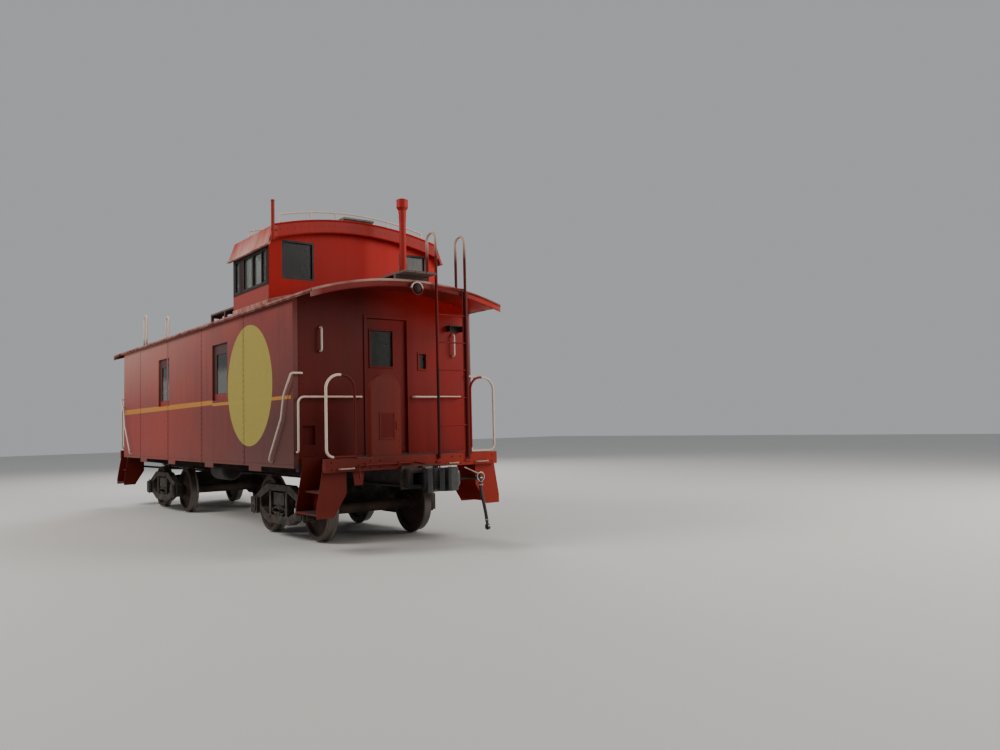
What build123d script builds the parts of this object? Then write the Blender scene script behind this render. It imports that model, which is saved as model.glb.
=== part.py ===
from build123d import *
from math import pi, radians, sqrt, tan
import os

os.makedirs("parts", exist_ok=True)

# A steel railway caboose on two four-wheel trucks, in millimetres.
# X runs along the car and +X is the end that the cupola stands nearer to.
# Z is up from the lowest points of the wheel flanges, where the car would stand on a floor.

# Clearances
seat_gap = 0.3          # between pieces that seat on each other along a curve
moving_gap = 6          # round anything that moves

# Running gear
tread_r = 419           # wheel radius on the tread
flange_depth = 25
rail_top = flange_depth
wheel_back = 1360       # between the wheels' inner faces
rim_width = 140
axle_r = 78
journal_r = 62
journal_span = 1956     # between the journal centres
journal_length = 180
bearing_gap = 0.8
truck_inset = 1480      # truck centre from the body's end
axle_base = 1680

# Body shell
body_length = 8960
body_width = 2840
side_bottom = rail_top + 1050
floor_top = rail_top + 1180
floor_thickness = 60
wall = 65
roof_crown = rail_top + 3535
roof_rise = 235
roof_overhang = 60
roof_sheet = 40
roof_projection = 700

# End platforms
platform_reach = 730
platform_width = 2650
sill_plate = 80
sill_bottom = rail_top + 1010
step_top_tread = rail_top + 760
step_low_tread = rail_top + 500
step_bottom = rail_top + 445
step_inner = 1000
step_outer = 1410
step_plate = 12

# Cupola
cupola_setback = 860    # near wall from the body's end
cupola_length = 1390
cupola_inset = 20       # side walls inside the body's sides
cupola_wall = 55
cupola_crown = rail_top + 4630
cupola_rise = 190       # the crown over the roof's shoulders
cupola_skirt = 305      # the shoulders over the eaves
cupola_shoulder_inset = 60
cupola_overhang = 55
cupola_end_overhang = 100
cupola_sheet = 35

# Couplers
coupler_height = rail_top + 876
coupler_pivot_inset = 600  # draft pin from the end sill's face
shank_width = 130
shank_depth = 130
coupler_reach = 690     # pulling face beyond the end sill

half_length = body_length / 2
half_width = body_width / 2
sill_x = half_length + platform_reach
roof_end = half_length + roof_projection
roof_half = half_width + roof_overhang
roof_r = (roof_half ** 2 + roof_rise ** 2) / (2 * roof_rise)
cupola_near = half_length - cupola_setback
cupola_far = cupola_near - cupola_length
cupola_half = half_width - cupola_inset
truck_x = half_length - truck_inset
coupler_pivot = sill_x - coupler_pivot_inset
cupola_shoulder = cupola_half - cupola_shoulder_inset
cupola_roof_half = cupola_half + cupola_overhang
cupola_eave = cupola_crown - cupola_rise - cupola_skirt
cupola_r = (cupola_shoulder ** 2 + cupola_rise ** 2) / (2 * cupola_rise)
floor_under = floor_top - floor_thickness
axle_z = tread_r + flange_depth
inner_half = half_width - wall


def roof_z(y, depth=0):
    # Height of the main roof's surface at y, or of the surface at a depth below it.
    return roof_crown - roof_r + sqrt((roof_r - depth) ** 2 - y ** 2)


def cupola_z(y):
    # Height of the cupola roof's arch at y.
    return cupola_crown - cupola_r + sqrt(cupola_r ** 2 - y ** 2)


def pipe(points, pipe_r, bend_r, pipe_sides=12):
    # A pipe or rod along straight runs that tangent bends join, with few sides to its section.
    with BuildLine() as route:
        if len(points) > 2:
            FilletPolyline(*points, radius=bend_r)
        else:
            Line(*points)
    with BuildSketch(Plane(origin=route.line @ 0, z_dir=route.line % 0)) as section:
        RegularPolygon(pipe_r, pipe_sides)
    sweep(sections=section.sketch, path=route.line)


def panel(x_plane, outline, thickness):
    # A plate across the car, drawn as (y, z) points and grown towards +X.
    with BuildSketch(Plane.YZ.offset(x_plane)) as face:
        with BuildLine():
            Polyline(*outline, close=True)
        make_face()
    extrude(face.sketch, amount=thickness)


def block(x_range, y_range, z_range, mode=Mode.ADD):
    # A rectangular piece between two corners.
    size = [high - low for low, high in (x_range, y_range, z_range)]
    middle = [(low + high) / 2 for low, high in (x_range, y_range, z_range)]
    with Locations(tuple(middle)):
        Box(*size, mode=mode)


def arched_plate(x_plane, y_mid, half, foot, top, thickness, mode=Mode.ADD):
    # A plate across the car with a half-round top.
    with BuildSketch(Plane.YZ.offset(x_plane)) as face:
        with BuildLine():
            Polyline((y_mid - half, top - half), (y_mid - half, foot),
                     (y_mid + half, foot), (y_mid + half, top - half))
            ThreePointArc((y_mid - half, top - half), (y_mid, top), (y_mid + half, top - half))
        make_face()
    extrude(face.sketch, amount=thickness, mode=mode)


def cupola_outline(x_plane, depth=0):
    # The cupola roof's outline across the car, a flat arch with steep skirts, or one set in by a depth.
    shoulder_z = cupola_crown - cupola_rise
    foot = roof_crown - 2 * roof_rise
    with BuildSketch(Plane.YZ.offset(x_plane)) as face:
        with BuildLine():
            ThreePointArc((-cupola_shoulder, shoulder_z), (0, cupola_crown),
                          (cupola_shoulder, shoulder_z))
            Polyline((cupola_shoulder, shoulder_z), (cupola_roof_half, cupola_eave),
                     (cupola_roof_half, foot), (-cupola_roof_half, foot),
                     (-cupola_roof_half, cupola_eave), (-cupola_shoulder, shoulder_z))
        make_face()
        if depth:
            offset(amount=-depth, kind=Kind.INTERSECTION, mode=Mode.REPLACE)
    return face.sketch


ends = [("near", 0), ("far", 180)]
sides = [("right", -1), ("left", 1)]

# Underframe: two centre sill webs, body bolsters, cross bearers, end cross sills and the
# striker castings that the couplers' shanks pass through.
web_inner = 165
web_plate = 25
sill_depth_bottom = rail_top + 770
cover_half = 245
flange_plate = 20
bolster_half = 170
bolster_mid_bottom = rail_top + 825
bolster_tip_bottom = rail_top + 980
bearer_x = [-1030, 1030]
bearer_half = 60
cross_sill_bottom = rail_top + 1000
cross_sill_width = 80
centre_plate_r = 170
bowl_top = rail_top + 765
draft_pin_r = 40
web_end = sill_x - sill_plate
casting_flange = 45     # the striker casting before the end sill
casting_reach = 170
casting_half = 270
casting_z = (rail_top + 740, rail_top + 1045)
horn_half = 225
horn_z = (rail_top + 762, rail_top + 1012)
casting_opening = 172
shank_play = 10

with BuildPart() as underframe:
    for side in (-1, 1):
        web = sorted((side * web_inner, side * (web_inner + web_plate)))
        foot = sorted((side * web_inner, side * cover_half))
        block((-web_end, web_end), web, (sill_depth_bottom, floor_under))
        block((-web_end, web_end), foot, (sill_depth_bottom, sill_depth_bottom + flange_plate))
    block((-web_end, web_end), (-cover_half, cover_half), (floor_under - flange_plate, floor_under))
    for x in (-truck_x, truck_x):
        panel(x - bolster_half,
              [(-inner_half, floor_under), (-inner_half, bolster_tip_bottom),
               (-2 * web_inner, bolster_mid_bottom), (2 * web_inner, bolster_mid_bottom),
               (inner_half, bolster_tip_bottom), (inner_half, floor_under)],
              2 * bolster_half)
        with Locations((x, 0, bowl_top + seat_gap)):
            Cylinder(centre_plate_r, bolster_mid_bottom - bowl_top,
                     align=(Align.CENTER, Align.CENTER, Align.MIN))
    for x in bearer_x:
        panel(x - bearer_half,
              [(-inner_half, floor_under), (-inner_half, bolster_tip_bottom),
               (-2 * web_inner, bolster_mid_bottom), (2 * web_inner, bolster_mid_bottom),
               (inner_half, bolster_tip_bottom), (inner_half, floor_under)],
              2 * bearer_half)
    for end in (-1, 1):
        cross = sorted((end * half_length, end * (half_length - cross_sill_width)))
        for side in (-1, 1):
            wing = sorted((side * (web_inner + web_plate), side * inner_half))
            block(cross, wing, (cross_sill_bottom, floor_under))
        with Locations((end * coupler_pivot, 0, sill_depth_bottom)):
            Cylinder(draft_pin_r, floor_under - sill_depth_bottom,
                     align=(Align.CENTER, Align.CENTER, Align.MIN))
        carrier_top = coupler_height - shank_depth / 2 - seat_gap
        carrier = sorted((end * (web_end - 90), end * (web_end - 30)))
        block(carrier, (-web_inner, web_inner), (sill_depth_bottom, carrier_top))
        flange = sorted((end * (sill_x + seat_gap), end * (sill_x + casting_flange)))
        horn = sorted((end * (sill_x + casting_flange), end * (sill_x + casting_reach)))
        block(flange, (-casting_half, casting_half), casting_z)
        block(horn, (-horn_half, horn_half), horn_z)
        window_half = shank_depth / 2 + shank_play
        block((min(flange + horn), max(flange + horn)), (-casting_opening, casting_opening),
              (coupler_height - window_half, coupler_height + window_half), mode=Mode.SUBTRACT)
underframe.part.label = "underframe"
export_step(underframe.part, "parts/underframe.step")

# Floor inside the walls
with BuildPart() as floor:
    block((wall - half_length, half_length - wall), (-inner_half, inner_half),
          (floor_under, floor_top))
floor.part.label = "floor"
export_step(floor.part, "parts/floor.step")

# Side walls: steel side with its lining, two windows, and tabs below the sheet
# at the bolsters and the cross bearers.
windows = [  # x middle, width, bottom and top above the rail
    (-1450, 700, 2045, 2935),
    (1655, 700, 2045, 2935),
]
tabs = [(-truck_x + 130, 470), (-950, 420), (1120, 420), (truck_x + 120, 470)]  # x middle, width
tab_bottom = rail_top + 980
tab_plate = 10

for side_name, side in sides:
    outer = side * half_width
    inner = side * inner_half
    with BuildPart() as side_wall:
        panel(-half_length,
              [(outer, side_bottom), (inner, side_bottom),
               (inner, roof_z(inner, roof_sheet) - seat_gap),
               (outer, roof_z(outer, roof_sheet) - seat_gap)],
              body_length)
        for x, width, low, high in windows:
            block((x - width / 2, x + width / 2), sorted((outer, inner)),
                  (rail_top + low, rail_top + high), mode=Mode.SUBTRACT)
        for x, width in tabs:
            block((x - width / 2, x + width / 2),
                  sorted((outer, outer - side * tab_plate)), (tab_bottom, side_bottom))
    side_wall.part.label = f"side_wall_{side_name}"
    export_step(side_wall.part, f"parts/side_wall_{side_name}.step")

# Window sashes set back in the side walls, and their glass
sash_stile = 115
sash_head = 160
sash_foot = 105
window_recess = 34
glass_thickness = 6

with BuildPart() as side_sashes:
    for side_name, side in sides:
        depth = sorted((side * (half_width - window_recess), side * inner_half))
        for x, width, low, high in windows:
            block((x - width / 2, x + width / 2), depth, (rail_top + low, rail_top + high))
            block((x - width / 2 + sash_stile, x + width / 2 - sash_stile), depth,
                  (rail_top + low + sash_foot, rail_top + high - sash_head), mode=Mode.SUBTRACT)
side_sashes.part.label = "side_window_sashes"
export_step(side_sashes.part, "parts/side_window_sashes.step")

with BuildPart() as side_glass:
    for side_name, side in sides:
        glass_y = side * (half_width + inner_half - window_recess) / 2
        for x, width, low, high in windows:
            block((x - width / 2 + sash_stile, x + width / 2 - sash_stile),
                  (glass_y - glass_thickness / 2, glass_y + glass_thickness / 2),
                  (rail_top + low + sash_foot, rail_top + high - sash_head))
side_glass.part.label = "side_window_glass"
export_step(side_glass.part, "parts/side_window_glass.step")

# End walls with a doorway and a small window, and the door that opens into the car.
door_low = -340         # doorway's edges in y at the +X end
door_high = 300
door_top = rail_top + 3080
sill_height = 15
door_thickness = 40
door_gap = moving_gap
casing_width = 45
casing_proud = 14
pocket_y = (-1290, -1120)               # lantern pocket in the end wall
pocket_z = (rail_top + 1350, rail_top + 1600)
pocket_depth = 40
lookout = (565, 110, 2390, 2600)        # y middle, width, bottom and top above the rail
door_window = (-95, 350, 2410, 2910)
hinge_r = 11
hinge_zs = [rail_top + 1450, rail_top + 2130, rail_top + 2880]
hinge_half = 45
knob_r = 26
knob_z = rail_top + 2090
hinge_x = half_length - wall - hinge_r - 3
hinge_y = door_high + 1

with BuildPart() as end_wall:
    top_edge = roof_sheet + seat_gap
    with BuildSketch(Plane.YZ.offset(half_length - wall)) as face:
        with BuildLine():
            Polyline((-inner_half, roof_z(inner_half, top_edge)), (-inner_half, floor_under),
                     (inner_half, floor_under), (inner_half, roof_z(inner_half, top_edge)))
            ThreePointArc((-inner_half, roof_z(inner_half, top_edge)), (0, roof_z(0, top_edge)),
                          (inner_half, roof_z(inner_half, top_edge)))
        make_face()
    extrude(face.sketch, amount=wall)
    through = (half_length - wall, half_length)
    block(through, (door_low, door_high), (floor_top + sill_height, door_top), mode=Mode.SUBTRACT)
    y, width, low, high = lookout
    block(through, (y - width / 2, y + width / 2), (rail_top + low, rail_top + high),
          mode=Mode.SUBTRACT)
    casing = (half_length, half_length + casing_proud)
    block(casing, (door_low - casing_width, door_high + casing_width),
          (floor_top, door_top + casing_width))
    block(casing, (door_low, door_high), (floor_top, door_top), mode=Mode.SUBTRACT)
    block((half_length - pocket_depth, half_length), pocket_y, pocket_z, mode=Mode.SUBTRACT)
    for z in hinge_zs:
        for z_low, z_high in ((z - hinge_half - 60, z - hinge_half - seat_gap),
                              (z + hinge_half + seat_gap, z + hinge_half + 60)):
            with Locations((hinge_x, hinge_y, (z_low + z_high) / 2)):
                Cylinder(hinge_r, z_high - z_low)
            block((hinge_x - 4, half_length - wall), (hinge_y + 3, hinge_y + 50), (z_low, z_high))

with BuildPart() as door:
    door_x = (half_length - wall, half_length - wall + door_thickness)
    door_edges = (door_low + door_gap + 4, door_high - door_gap)
    block(door_x, door_edges, (floor_top + sill_height + door_gap, door_top - door_gap))
    y, width, low, high = door_window
    block(door_x, (y - width / 2, y + width / 2), (rail_top + low, rail_top + high),
          mode=Mode.SUBTRACT)
    for z in hinge_zs:
        with Locations((hinge_x, hinge_y, z)):
            Cylinder(hinge_r, 2 * hinge_half)
        block((hinge_x - 4, half_length - wall), (hinge_y - 50, hinge_y - 3),
              (z - hinge_half, z + hinge_half))
    with Locations(Location((door_x[0] + door_thickness / 2, door_low + 50, knob_z), (0, 90, 0))):
        Cylinder(9, door_thickness + 60)
    for x in (door_x[0] - 40, door_x[1] + 16):
        with Locations(Location((x + 12, door_low + 50, knob_z), (0, 90, 0))):
            Cylinder(knob_r, 24)

with BuildPart() as door_glass:
    y, width, low, high = door_window
    middle = half_length - wall + door_thickness / 2
    block((middle - glass_thickness / 2, middle + glass_thickness / 2),
          (y - width / 2, y + width / 2), (rail_top + low, rail_top + high))

with BuildPart() as lookout_glass:
    y, width, low, high = lookout
    middle = half_length - wall / 2
    block((middle - glass_thickness / 2, middle + glass_thickness / 2),
          (y - width / 2, y + width / 2), (rail_top + low, rail_top + high))

# Platform: deck with step wells, and the end sill, lower behind the coupler, with a stop plate.
striker_half = 230
striker_window = 150
striker_bottom = sill_depth_bottom
stop_x = sill_x - 60
stop_plate = 12
stop_low = rail_top + 830
well_start = half_length + 30
well_end = sill_x - sill_plate

with BuildPart() as platform:
    block((half_length, sill_x), (-platform_width / 2, platform_width / 2),
          (floor_under, floor_top))
    for side in (-1, 1):
        block((well_start, well_end), sorted((side * step_inner, side * platform_width / 2)),
              (floor_under, floor_top), mode=Mode.SUBTRACT)
    block((sill_x - sill_plate, sill_x), (-platform_width / 2, platform_width / 2),
          (sill_bottom, floor_under))
    block((sill_x - sill_plate, sill_x), (-striker_half, striker_half),
          (striker_bottom, sill_bottom))
    block((sill_x - sill_plate, sill_x), (-striker_window, striker_window),
          (coupler_height - window_half, coupler_height + window_half), mode=Mode.SUBTRACT)
    panel(stop_x,
          [(-930, sill_bottom + 1), (-905, stop_low), (-790, stop_low), (-765, sill_bottom + 1)],
          stop_plate)

# Steps: two cheek plates, two treads and the back sheets between them.
with BuildPart() as steps:
    cheeks = (well_start, sill_x - sill_plate - step_plate)
    for side in (-1, 1):
        for x in cheeks:
            panel(x,
                  [(side * step_inner, floor_under), (side * step_inner, step_top_tread - 25),
                   (side * (step_outer - 230), step_bottom), (side * step_outer, step_bottom),
                   (side * step_outer, step_low_tread + 60),
                   (side * platform_width / 2, sill_bottom + 40),
                   (side * platform_width / 2, floor_under)],
                  step_plate)
        for tread, start, stop in ((step_top_tread, step_inner, step_inner + 300),
                                   (step_low_tread, step_outer - 230, step_outer)):
            block((well_start + step_plate, sill_x - sill_plate - step_plate),
                  sorted((side * start, side * stop)), (tread - 20, tread))
        block((well_start + step_plate, sill_x - sill_plate - step_plate),
              sorted((side * step_inner, side * (step_inner + 8))), (step_top_tread, floor_under))
        block((well_start + step_plate, sill_x - sill_plate - step_plate),
              sorted((side * (step_outer - 230), side * (step_outer - 222))),
              (step_low_tread, step_top_tread - 20))

# End railing with its curved corner handrails, and the arched hand brake stand.
rail_x = sill_x - 20
rail_r = 17
rail_bend = 180
rail_foot_bend = 100
rail_height = rail_top + 2230
rail_inset = 25
corner_y = platform_width / 2 - rail_inset
railing_inners = {-1: 905, 1: 900}
with BuildPart() as railing:
    for side in (-1, 1):
        inner_y = side * railing_inners[side]
        pipe([(rail_x, inner_y, floor_top), (rail_x, inner_y, rail_height),
              (rail_x, side * corner_y, rail_height),
              (rail_x, side * corner_y, rail_height - 500)], rail_r, rail_bend)
        pipe([(rail_x, side * corner_y, rail_height - 500),
              (rail_x, side * corner_y, floor_top + rail_r + 1),
              (rail_x, inner_y, floor_top + rail_r + 1)], rail_r, rail_foot_bend)

stand_low = -660
stand_high = -220
stand_top = rail_top + 2255
stand_depth = 90
stand_plate = 12
stand_x = sill_x - 130
stand_window = (-520, -325, rail_top + 1420, rail_top + 1735)
with BuildPart() as brake_stand:
    stand_half = (stand_high - stand_low) / 2
    stand_mid = (stand_high + stand_low) / 2
    arched_plate(stand_x, stand_mid, stand_half, floor_top, stand_top, stand_depth)
    arched_plate(stand_x, stand_mid, stand_half - stand_plate, floor_top,
                 stand_top - stand_plate, stand_depth - stand_plate, mode=Mode.SUBTRACT)
    y_from, y_to, low, high = stand_window
    block((stand_x, stand_x + stand_depth), (y_from, y_to), (low, high), mode=Mode.SUBTRACT)

# Roof ladder: two rails from the end sill over the roof edge, and its rungs.
ladder_ys = [340, 820]
ladder_top = roof_crown + 695
ladder_hoop = 110
ladder_r = 20
ladder_x = sill_x + ladder_r + seat_gap
rung_r = 10
rung_pitch = 380
rung_count = 6
with BuildPart() as ladder:
    for y in ladder_ys:
        inside_x = ladder_x - 2 * ladder_hoop
        pipe([(ladder_x, y, floor_top - 60), (ladder_x, y, ladder_top),
              (inside_x, y, ladder_top), (inside_x, y, roof_z(y - ladder_r) + seat_gap)],
             ladder_r, ladder_hoop - 1)
    for i in range(rung_count):
        z = floor_top + rung_pitch * (i + 1)
        pipe([(ladder_x, ladder_ys[0], z), (ladder_x, ladder_ys[1], z)], rung_r, 0)

# Coupler: a shank on its draft pin, the head with its guard arm, and the closed knuckle.
shank_end = sill_x + 230
head_root = sill_x + 210
head_face = sill_x + coupler_reach
head_half = 150
knuckle_half = 140
with BuildPart() as coupler:
    block((coupler_pivot, shank_end), (-shank_width / 2, shank_width / 2),
          (coupler_height - shank_depth / 2, coupler_height + shank_depth / 2))
    with Locations((coupler_pivot, 0, coupler_height)):
        Cylinder(90, shank_depth)
        Cylinder(draft_pin_r + seat_gap, shank_depth, mode=Mode.SUBTRACT)
    with BuildSketch(Plane.XY.offset(coupler_height - head_half)) as head:
        with BuildLine():
            FilletPolyline((head_root, -65), (head_root + 110, -100), (head_root + 240, -190),
                           (head_face - 50, -240), (head_face - 15, -205),
                           (head_face - 130, -95), (head_face - 150, 0), (head_face - 90, 60),
                           (head_face - 60, 200), (head_root + 200, 190),
                           (head_root + 110, 110), (head_root, 65), radius=14, close=True)
        make_face()
    extrude(head.sketch, amount=2 * head_half)
    with BuildSketch(Plane.XY.offset(coupler_height - knuckle_half)) as knuckle:
        with BuildLine():
            FilletPolyline((head_face - 110, 45), (head_face - 25, 45), (head_face, 70),
                           (head_face, 175), (head_face - 40, 208), (head_face - 130, 208),
                           (head_face - 170, 130), radius=12, close=True)
        make_face()
    extrude(knuckle.sketch, amount=2 * knuckle_half)

# Marker light bracket on the end wall, and the round lamp on the roof's end.
bracket_y = (990, 1230)
bracket_z = (rail_top + 2950, rail_top + 3035)
bracket_reach = 110
lamp_y = 30
lamp_z = rail_top + 3410
lamp_r = 96
lamp_depth = 55
with BuildPart() as marker_bracket:
    block((half_length, half_length + 12), bracket_y, bracket_z)
    block((half_length, half_length + bracket_reach), bracket_y,
          (bracket_z[1] - 12, bracket_z[1]))
    for y in (bracket_y[0], bracket_y[1] - 12):
        block((half_length, half_length + bracket_reach), (y, y + 12), bracket_z)

with BuildPart() as end_lamp:
    lamp_profile = [(0, 0), (0, lamp_r - 14), (lamp_depth - 18, lamp_r - 6), (lamp_depth - 18, lamp_r),
                    (lamp_depth, lamp_r), (lamp_depth, lamp_r - 12), (lamp_depth - 12, lamp_r - 16),
                    (lamp_depth - 12, 0)]
    with BuildSketch(Plane.XZ) as lamp_half:
        with BuildLine():
            Polyline(*[(x, r) for x, r in lamp_profile], close=True)
        make_face()
    revolve(lamp_half.sketch, axis=Axis.X, revolution_arc=360)
end_lamp.part.move(Location((roof_end + seat_gap, lamp_y, lamp_z)))

# Grab irons of one end: a long curved one on each side, and those on the end wall and sill.
grab_r = 14
small_grab_r = 10
side_grab_y = half_width + 50
grab_x = half_length + 60
with BuildPart() as grab_irons:
    for side in (-1, 1):
        y = side * side_grab_y
        pipe([(half_length, side * 1310, rail_top + 2290),
              (half_length + 50, side * 1310, rail_top + 2290),
              (half_length + 50, y, rail_top + 2290), (half_length - 190, y, rail_top + 2020),
              (half_length - 290, y, rail_top + 1700), (half_length - 680, y, rail_top + 1200),
              (half_length - 705, y, rail_top + 1125),
              (half_length - 705, side * half_width, rail_top + 1125)], grab_r, 35)
        pipe([(sill_x, side * 945, rail_top + 1050), (sill_x + 45, side * 945, rail_top + 1050),
              (sill_x + 45, side * 1150, rail_top + 1050), (sill_x, side * 1150, rail_top + 1050)],
             small_grab_r, 25)
    for y in (-1040, 1090):
        pipe([(half_length, y, rail_top + 2590), (grab_x, y, rail_top + 2590),
              (grab_x, y, rail_top + 2910), (half_length, y, rail_top + 2910)], grab_r, 35)
    pipe([(half_length, -445, rail_top + 1980), (grab_x, -445, rail_top + 1980),
          (grab_x, -1380, rail_top + 1980), (grab_x, -1380, rail_top + 1260),
          (half_length, -1380, rail_top + 1260)], grab_r, [35, 85, 35])
    pipe([(half_length, 380, rail_top + 1980), (grab_x, 380, rail_top + 1980),
          (grab_x, 1190, rail_top + 1980), (half_length, 1190, rail_top + 1980)], grab_r, 35)

# Uncoupling lever of one end, along the end sill's face.
lever_r = 11
lever_x = sill_x + 38
lever_z = rail_top + 1085
with BuildPart() as uncoupling_lever:
    pipe([(lever_x + 25, -885, lever_z - 170), (lever_x, -885, lever_z),
          (lever_x, -60, lever_z), (lever_x + 250, -60, lever_z - 15)], lever_r, 30)
    for y in (-780, -300):
        block((sill_x, lever_x + 16), (y - 12, y + 12), (lever_z - 18, lever_z + 18))

near_parts = [
    (end_wall, "end_wall"), (door, "door"), (door_glass, "door_glass"),
    (platform, "platform"), (steps, "steps"),
    (railing, "end_railing"), (brake_stand, "brake_stand"), (ladder, "ladder"),
    (coupler, "coupler"),
]
for built, label in near_parts:
    for end_name, turn in ends:
        placed = built.part.rotate(Axis.Z, turn)
        placed.label = f"{label}_{end_name}"
        export_step(placed, f"parts/{label}_{end_name}.step")

both_end_parts = [
    (marker_bracket, "marker_brackets"), (end_lamp, "end_lamps"), (grab_irons, "grab_irons"),
    (uncoupling_lever, "uncoupling_levers"), (lookout_glass, "lookout_glass"),
]
for built, label in both_end_parts:
    with BuildPart() as pair:
        for end_name, turn in ends:
            add(built.part.rotate(Axis.Z, turn))
    pair.part.label = label
    export_step(pair.part, f"parts/{label}.step")

# Roof: arched sheet over the body and both platforms, open under the cupola, with end fascias.
fascia_plate = 20
roof_fascia = 105
with BuildPart() as roof:
    with BuildSketch(Plane.YZ.offset(-roof_end)) as face:
        with BuildLine():
            ThreePointArc((-roof_half, roof_z(roof_half)), (0, roof_crown),
                          (roof_half, roof_z(roof_half)))
            ThreePointArc((-roof_half, roof_z(roof_half, roof_sheet)),
                          (0, roof_z(0, roof_sheet)),
                          (roof_half, roof_z(roof_half, roof_sheet)))
            Line((-roof_half, roof_z(roof_half)), (-roof_half, roof_z(roof_half, roof_sheet)))
            Line((roof_half, roof_z(roof_half)), (roof_half, roof_z(roof_half, roof_sheet)))
        make_face()
    extrude(face.sketch, amount=2 * roof_end)
    block((cupola_far + cupola_wall, cupola_near - cupola_wall),
          (cupola_wall - cupola_half, cupola_half - cupola_wall),
          (roof_crown - 2 * roof_rise, roof_crown + 10), mode=Mode.SUBTRACT)
    top_edge = roof_z(roof_half, roof_sheet)
    low_edge = roof_z(roof_half) - roof_fascia
    for x in (-roof_end, roof_end - fascia_plate):
        with BuildSketch(Plane.YZ.offset(x)) as fascia:
            with BuildLine():
                ThreePointArc((-roof_half, top_edge), (0, roof_z(0, roof_sheet)), (roof_half, top_edge))
                Line((roof_half, top_edge), (roof_half, low_edge))
                ThreePointArc((roof_half, low_edge), (0, roof_crown - roof_fascia),
                              (-roof_half, low_edge))
                Line((-roof_half, low_edge), (-roof_half, top_edge))
            make_face()
        extrude(fascia.sketch, amount=fascia_plate)
roof.part.label = "roof"
export_step(roof.part, "parts/roof.step")

# Cupola walls on the roof
cupola_side_windows = [(cupola_far + 60, cupola_far + 270),
                       (cupola_far + 410, cupola_far + 1310)]
cupola_mullions = [(cupola_far + 787, 57), (cupola_far + 1135, 30)]     # x middle and width
cupola_side_window_z = (roof_crown + 85, roof_crown + 590)
cupola_end_windows = [(-1200, -710), (710, 1200)]           # y from, y to
cupola_end_window_z = (roof_crown + 155, roof_crown + 715)

with BuildPart() as cupola_walls:
    extrude(cupola_outline(cupola_far, cupola_sheet + seat_gap), amount=cupola_length)
    cupola_span = (0, cupola_crown)
    for side in (-1, 1):
        beyond = sorted((side * cupola_half, side * cupola_roof_half))
        block((cupola_far, cupola_near), beyond, cupola_span, mode=Mode.SUBTRACT)
    roof_centre = Location(((cupola_far + cupola_near) / 2, 0, roof_crown - roof_r), (0, 90, 0))
    with Locations(roof_centre):
        Cylinder(roof_r + seat_gap, cupola_length, mode=Mode.SUBTRACT)
    block((cupola_far + cupola_wall, cupola_near - cupola_wall),
          (cupola_wall - cupola_half, cupola_half - cupola_wall), cupola_span, mode=Mode.SUBTRACT)
    for x_from, x_to in cupola_side_windows:
        block((x_from, x_to), (-cupola_half, cupola_half), cupola_side_window_z,
              mode=Mode.SUBTRACT)
    for y_from, y_to in cupola_end_windows:
        block((cupola_far, cupola_near), (y_from, y_to), cupola_end_window_z, mode=Mode.SUBTRACT)
cupola_walls.part.label = "cupola_walls"
export_step(cupola_walls.part, "parts/cupola_walls.step")

# Cupola window frames and glass
cupola_frame = 30
with BuildPart() as cupola_frames:
    for side in (-1, 1):
        face_y = side * cupola_half
        back_y = side * (cupola_half - cupola_wall)
        low, high = cupola_side_window_z
        for x_from, x_to in cupola_side_windows:
            block((x_from, x_to), sorted((face_y, back_y)), (low, high))
            block((x_from + cupola_frame, x_to - cupola_frame), sorted((face_y, back_y)),
                  (low + cupola_frame, high - cupola_frame), mode=Mode.SUBTRACT)
        for middle, width in cupola_mullions:
            block((middle - width / 2, middle + width / 2), sorted((face_y, back_y)), (low, high))
    low, high = cupola_end_window_z
    for x_from, x_to in ((cupola_far, cupola_far + cupola_wall),
                         (cupola_near - cupola_wall, cupola_near)):
        for y_from, y_to in cupola_end_windows:
            block((x_from, x_to), (y_from, y_to), (low, high))
            block((x_from, x_to), (y_from + cupola_frame, y_to - cupola_frame),
                  (low + cupola_frame, high - cupola_frame), mode=Mode.SUBTRACT)
cupola_frames.part.label = "cupola_window_frames"
export_step(cupola_frames.part, "parts/cupola_window_frames.step")

with BuildPart() as cupola_glass:
    low, high = cupola_side_window_z
    for side in (-1, 1):
        glass_y = side * (cupola_half - cupola_wall / 2)
        across = (glass_y - glass_thickness / 2, glass_y + glass_thickness / 2)
        heights = (low + cupola_frame, high - cupola_frame)
        for x_from, x_to in cupola_side_windows:
            block((x_from + cupola_frame, x_to - cupola_frame), across, heights)
        for middle, width in cupola_mullions:
            block((middle - width / 2, middle + width / 2), across, heights, mode=Mode.SUBTRACT)
    low, high = cupola_end_window_z
    for x in (cupola_far + cupola_wall / 2, cupola_near - cupola_wall / 2):
        for y_from, y_to in cupola_end_windows:
            block((x - glass_thickness / 2, x + glass_thickness / 2),
                  (y_from + cupola_frame, y_to - cupola_frame),
                  (low + cupola_frame, high - cupola_frame))
cupola_glass.part.label = "cupola_glass"
export_step(cupola_glass.part, "parts/cupola_glass.step")

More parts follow.
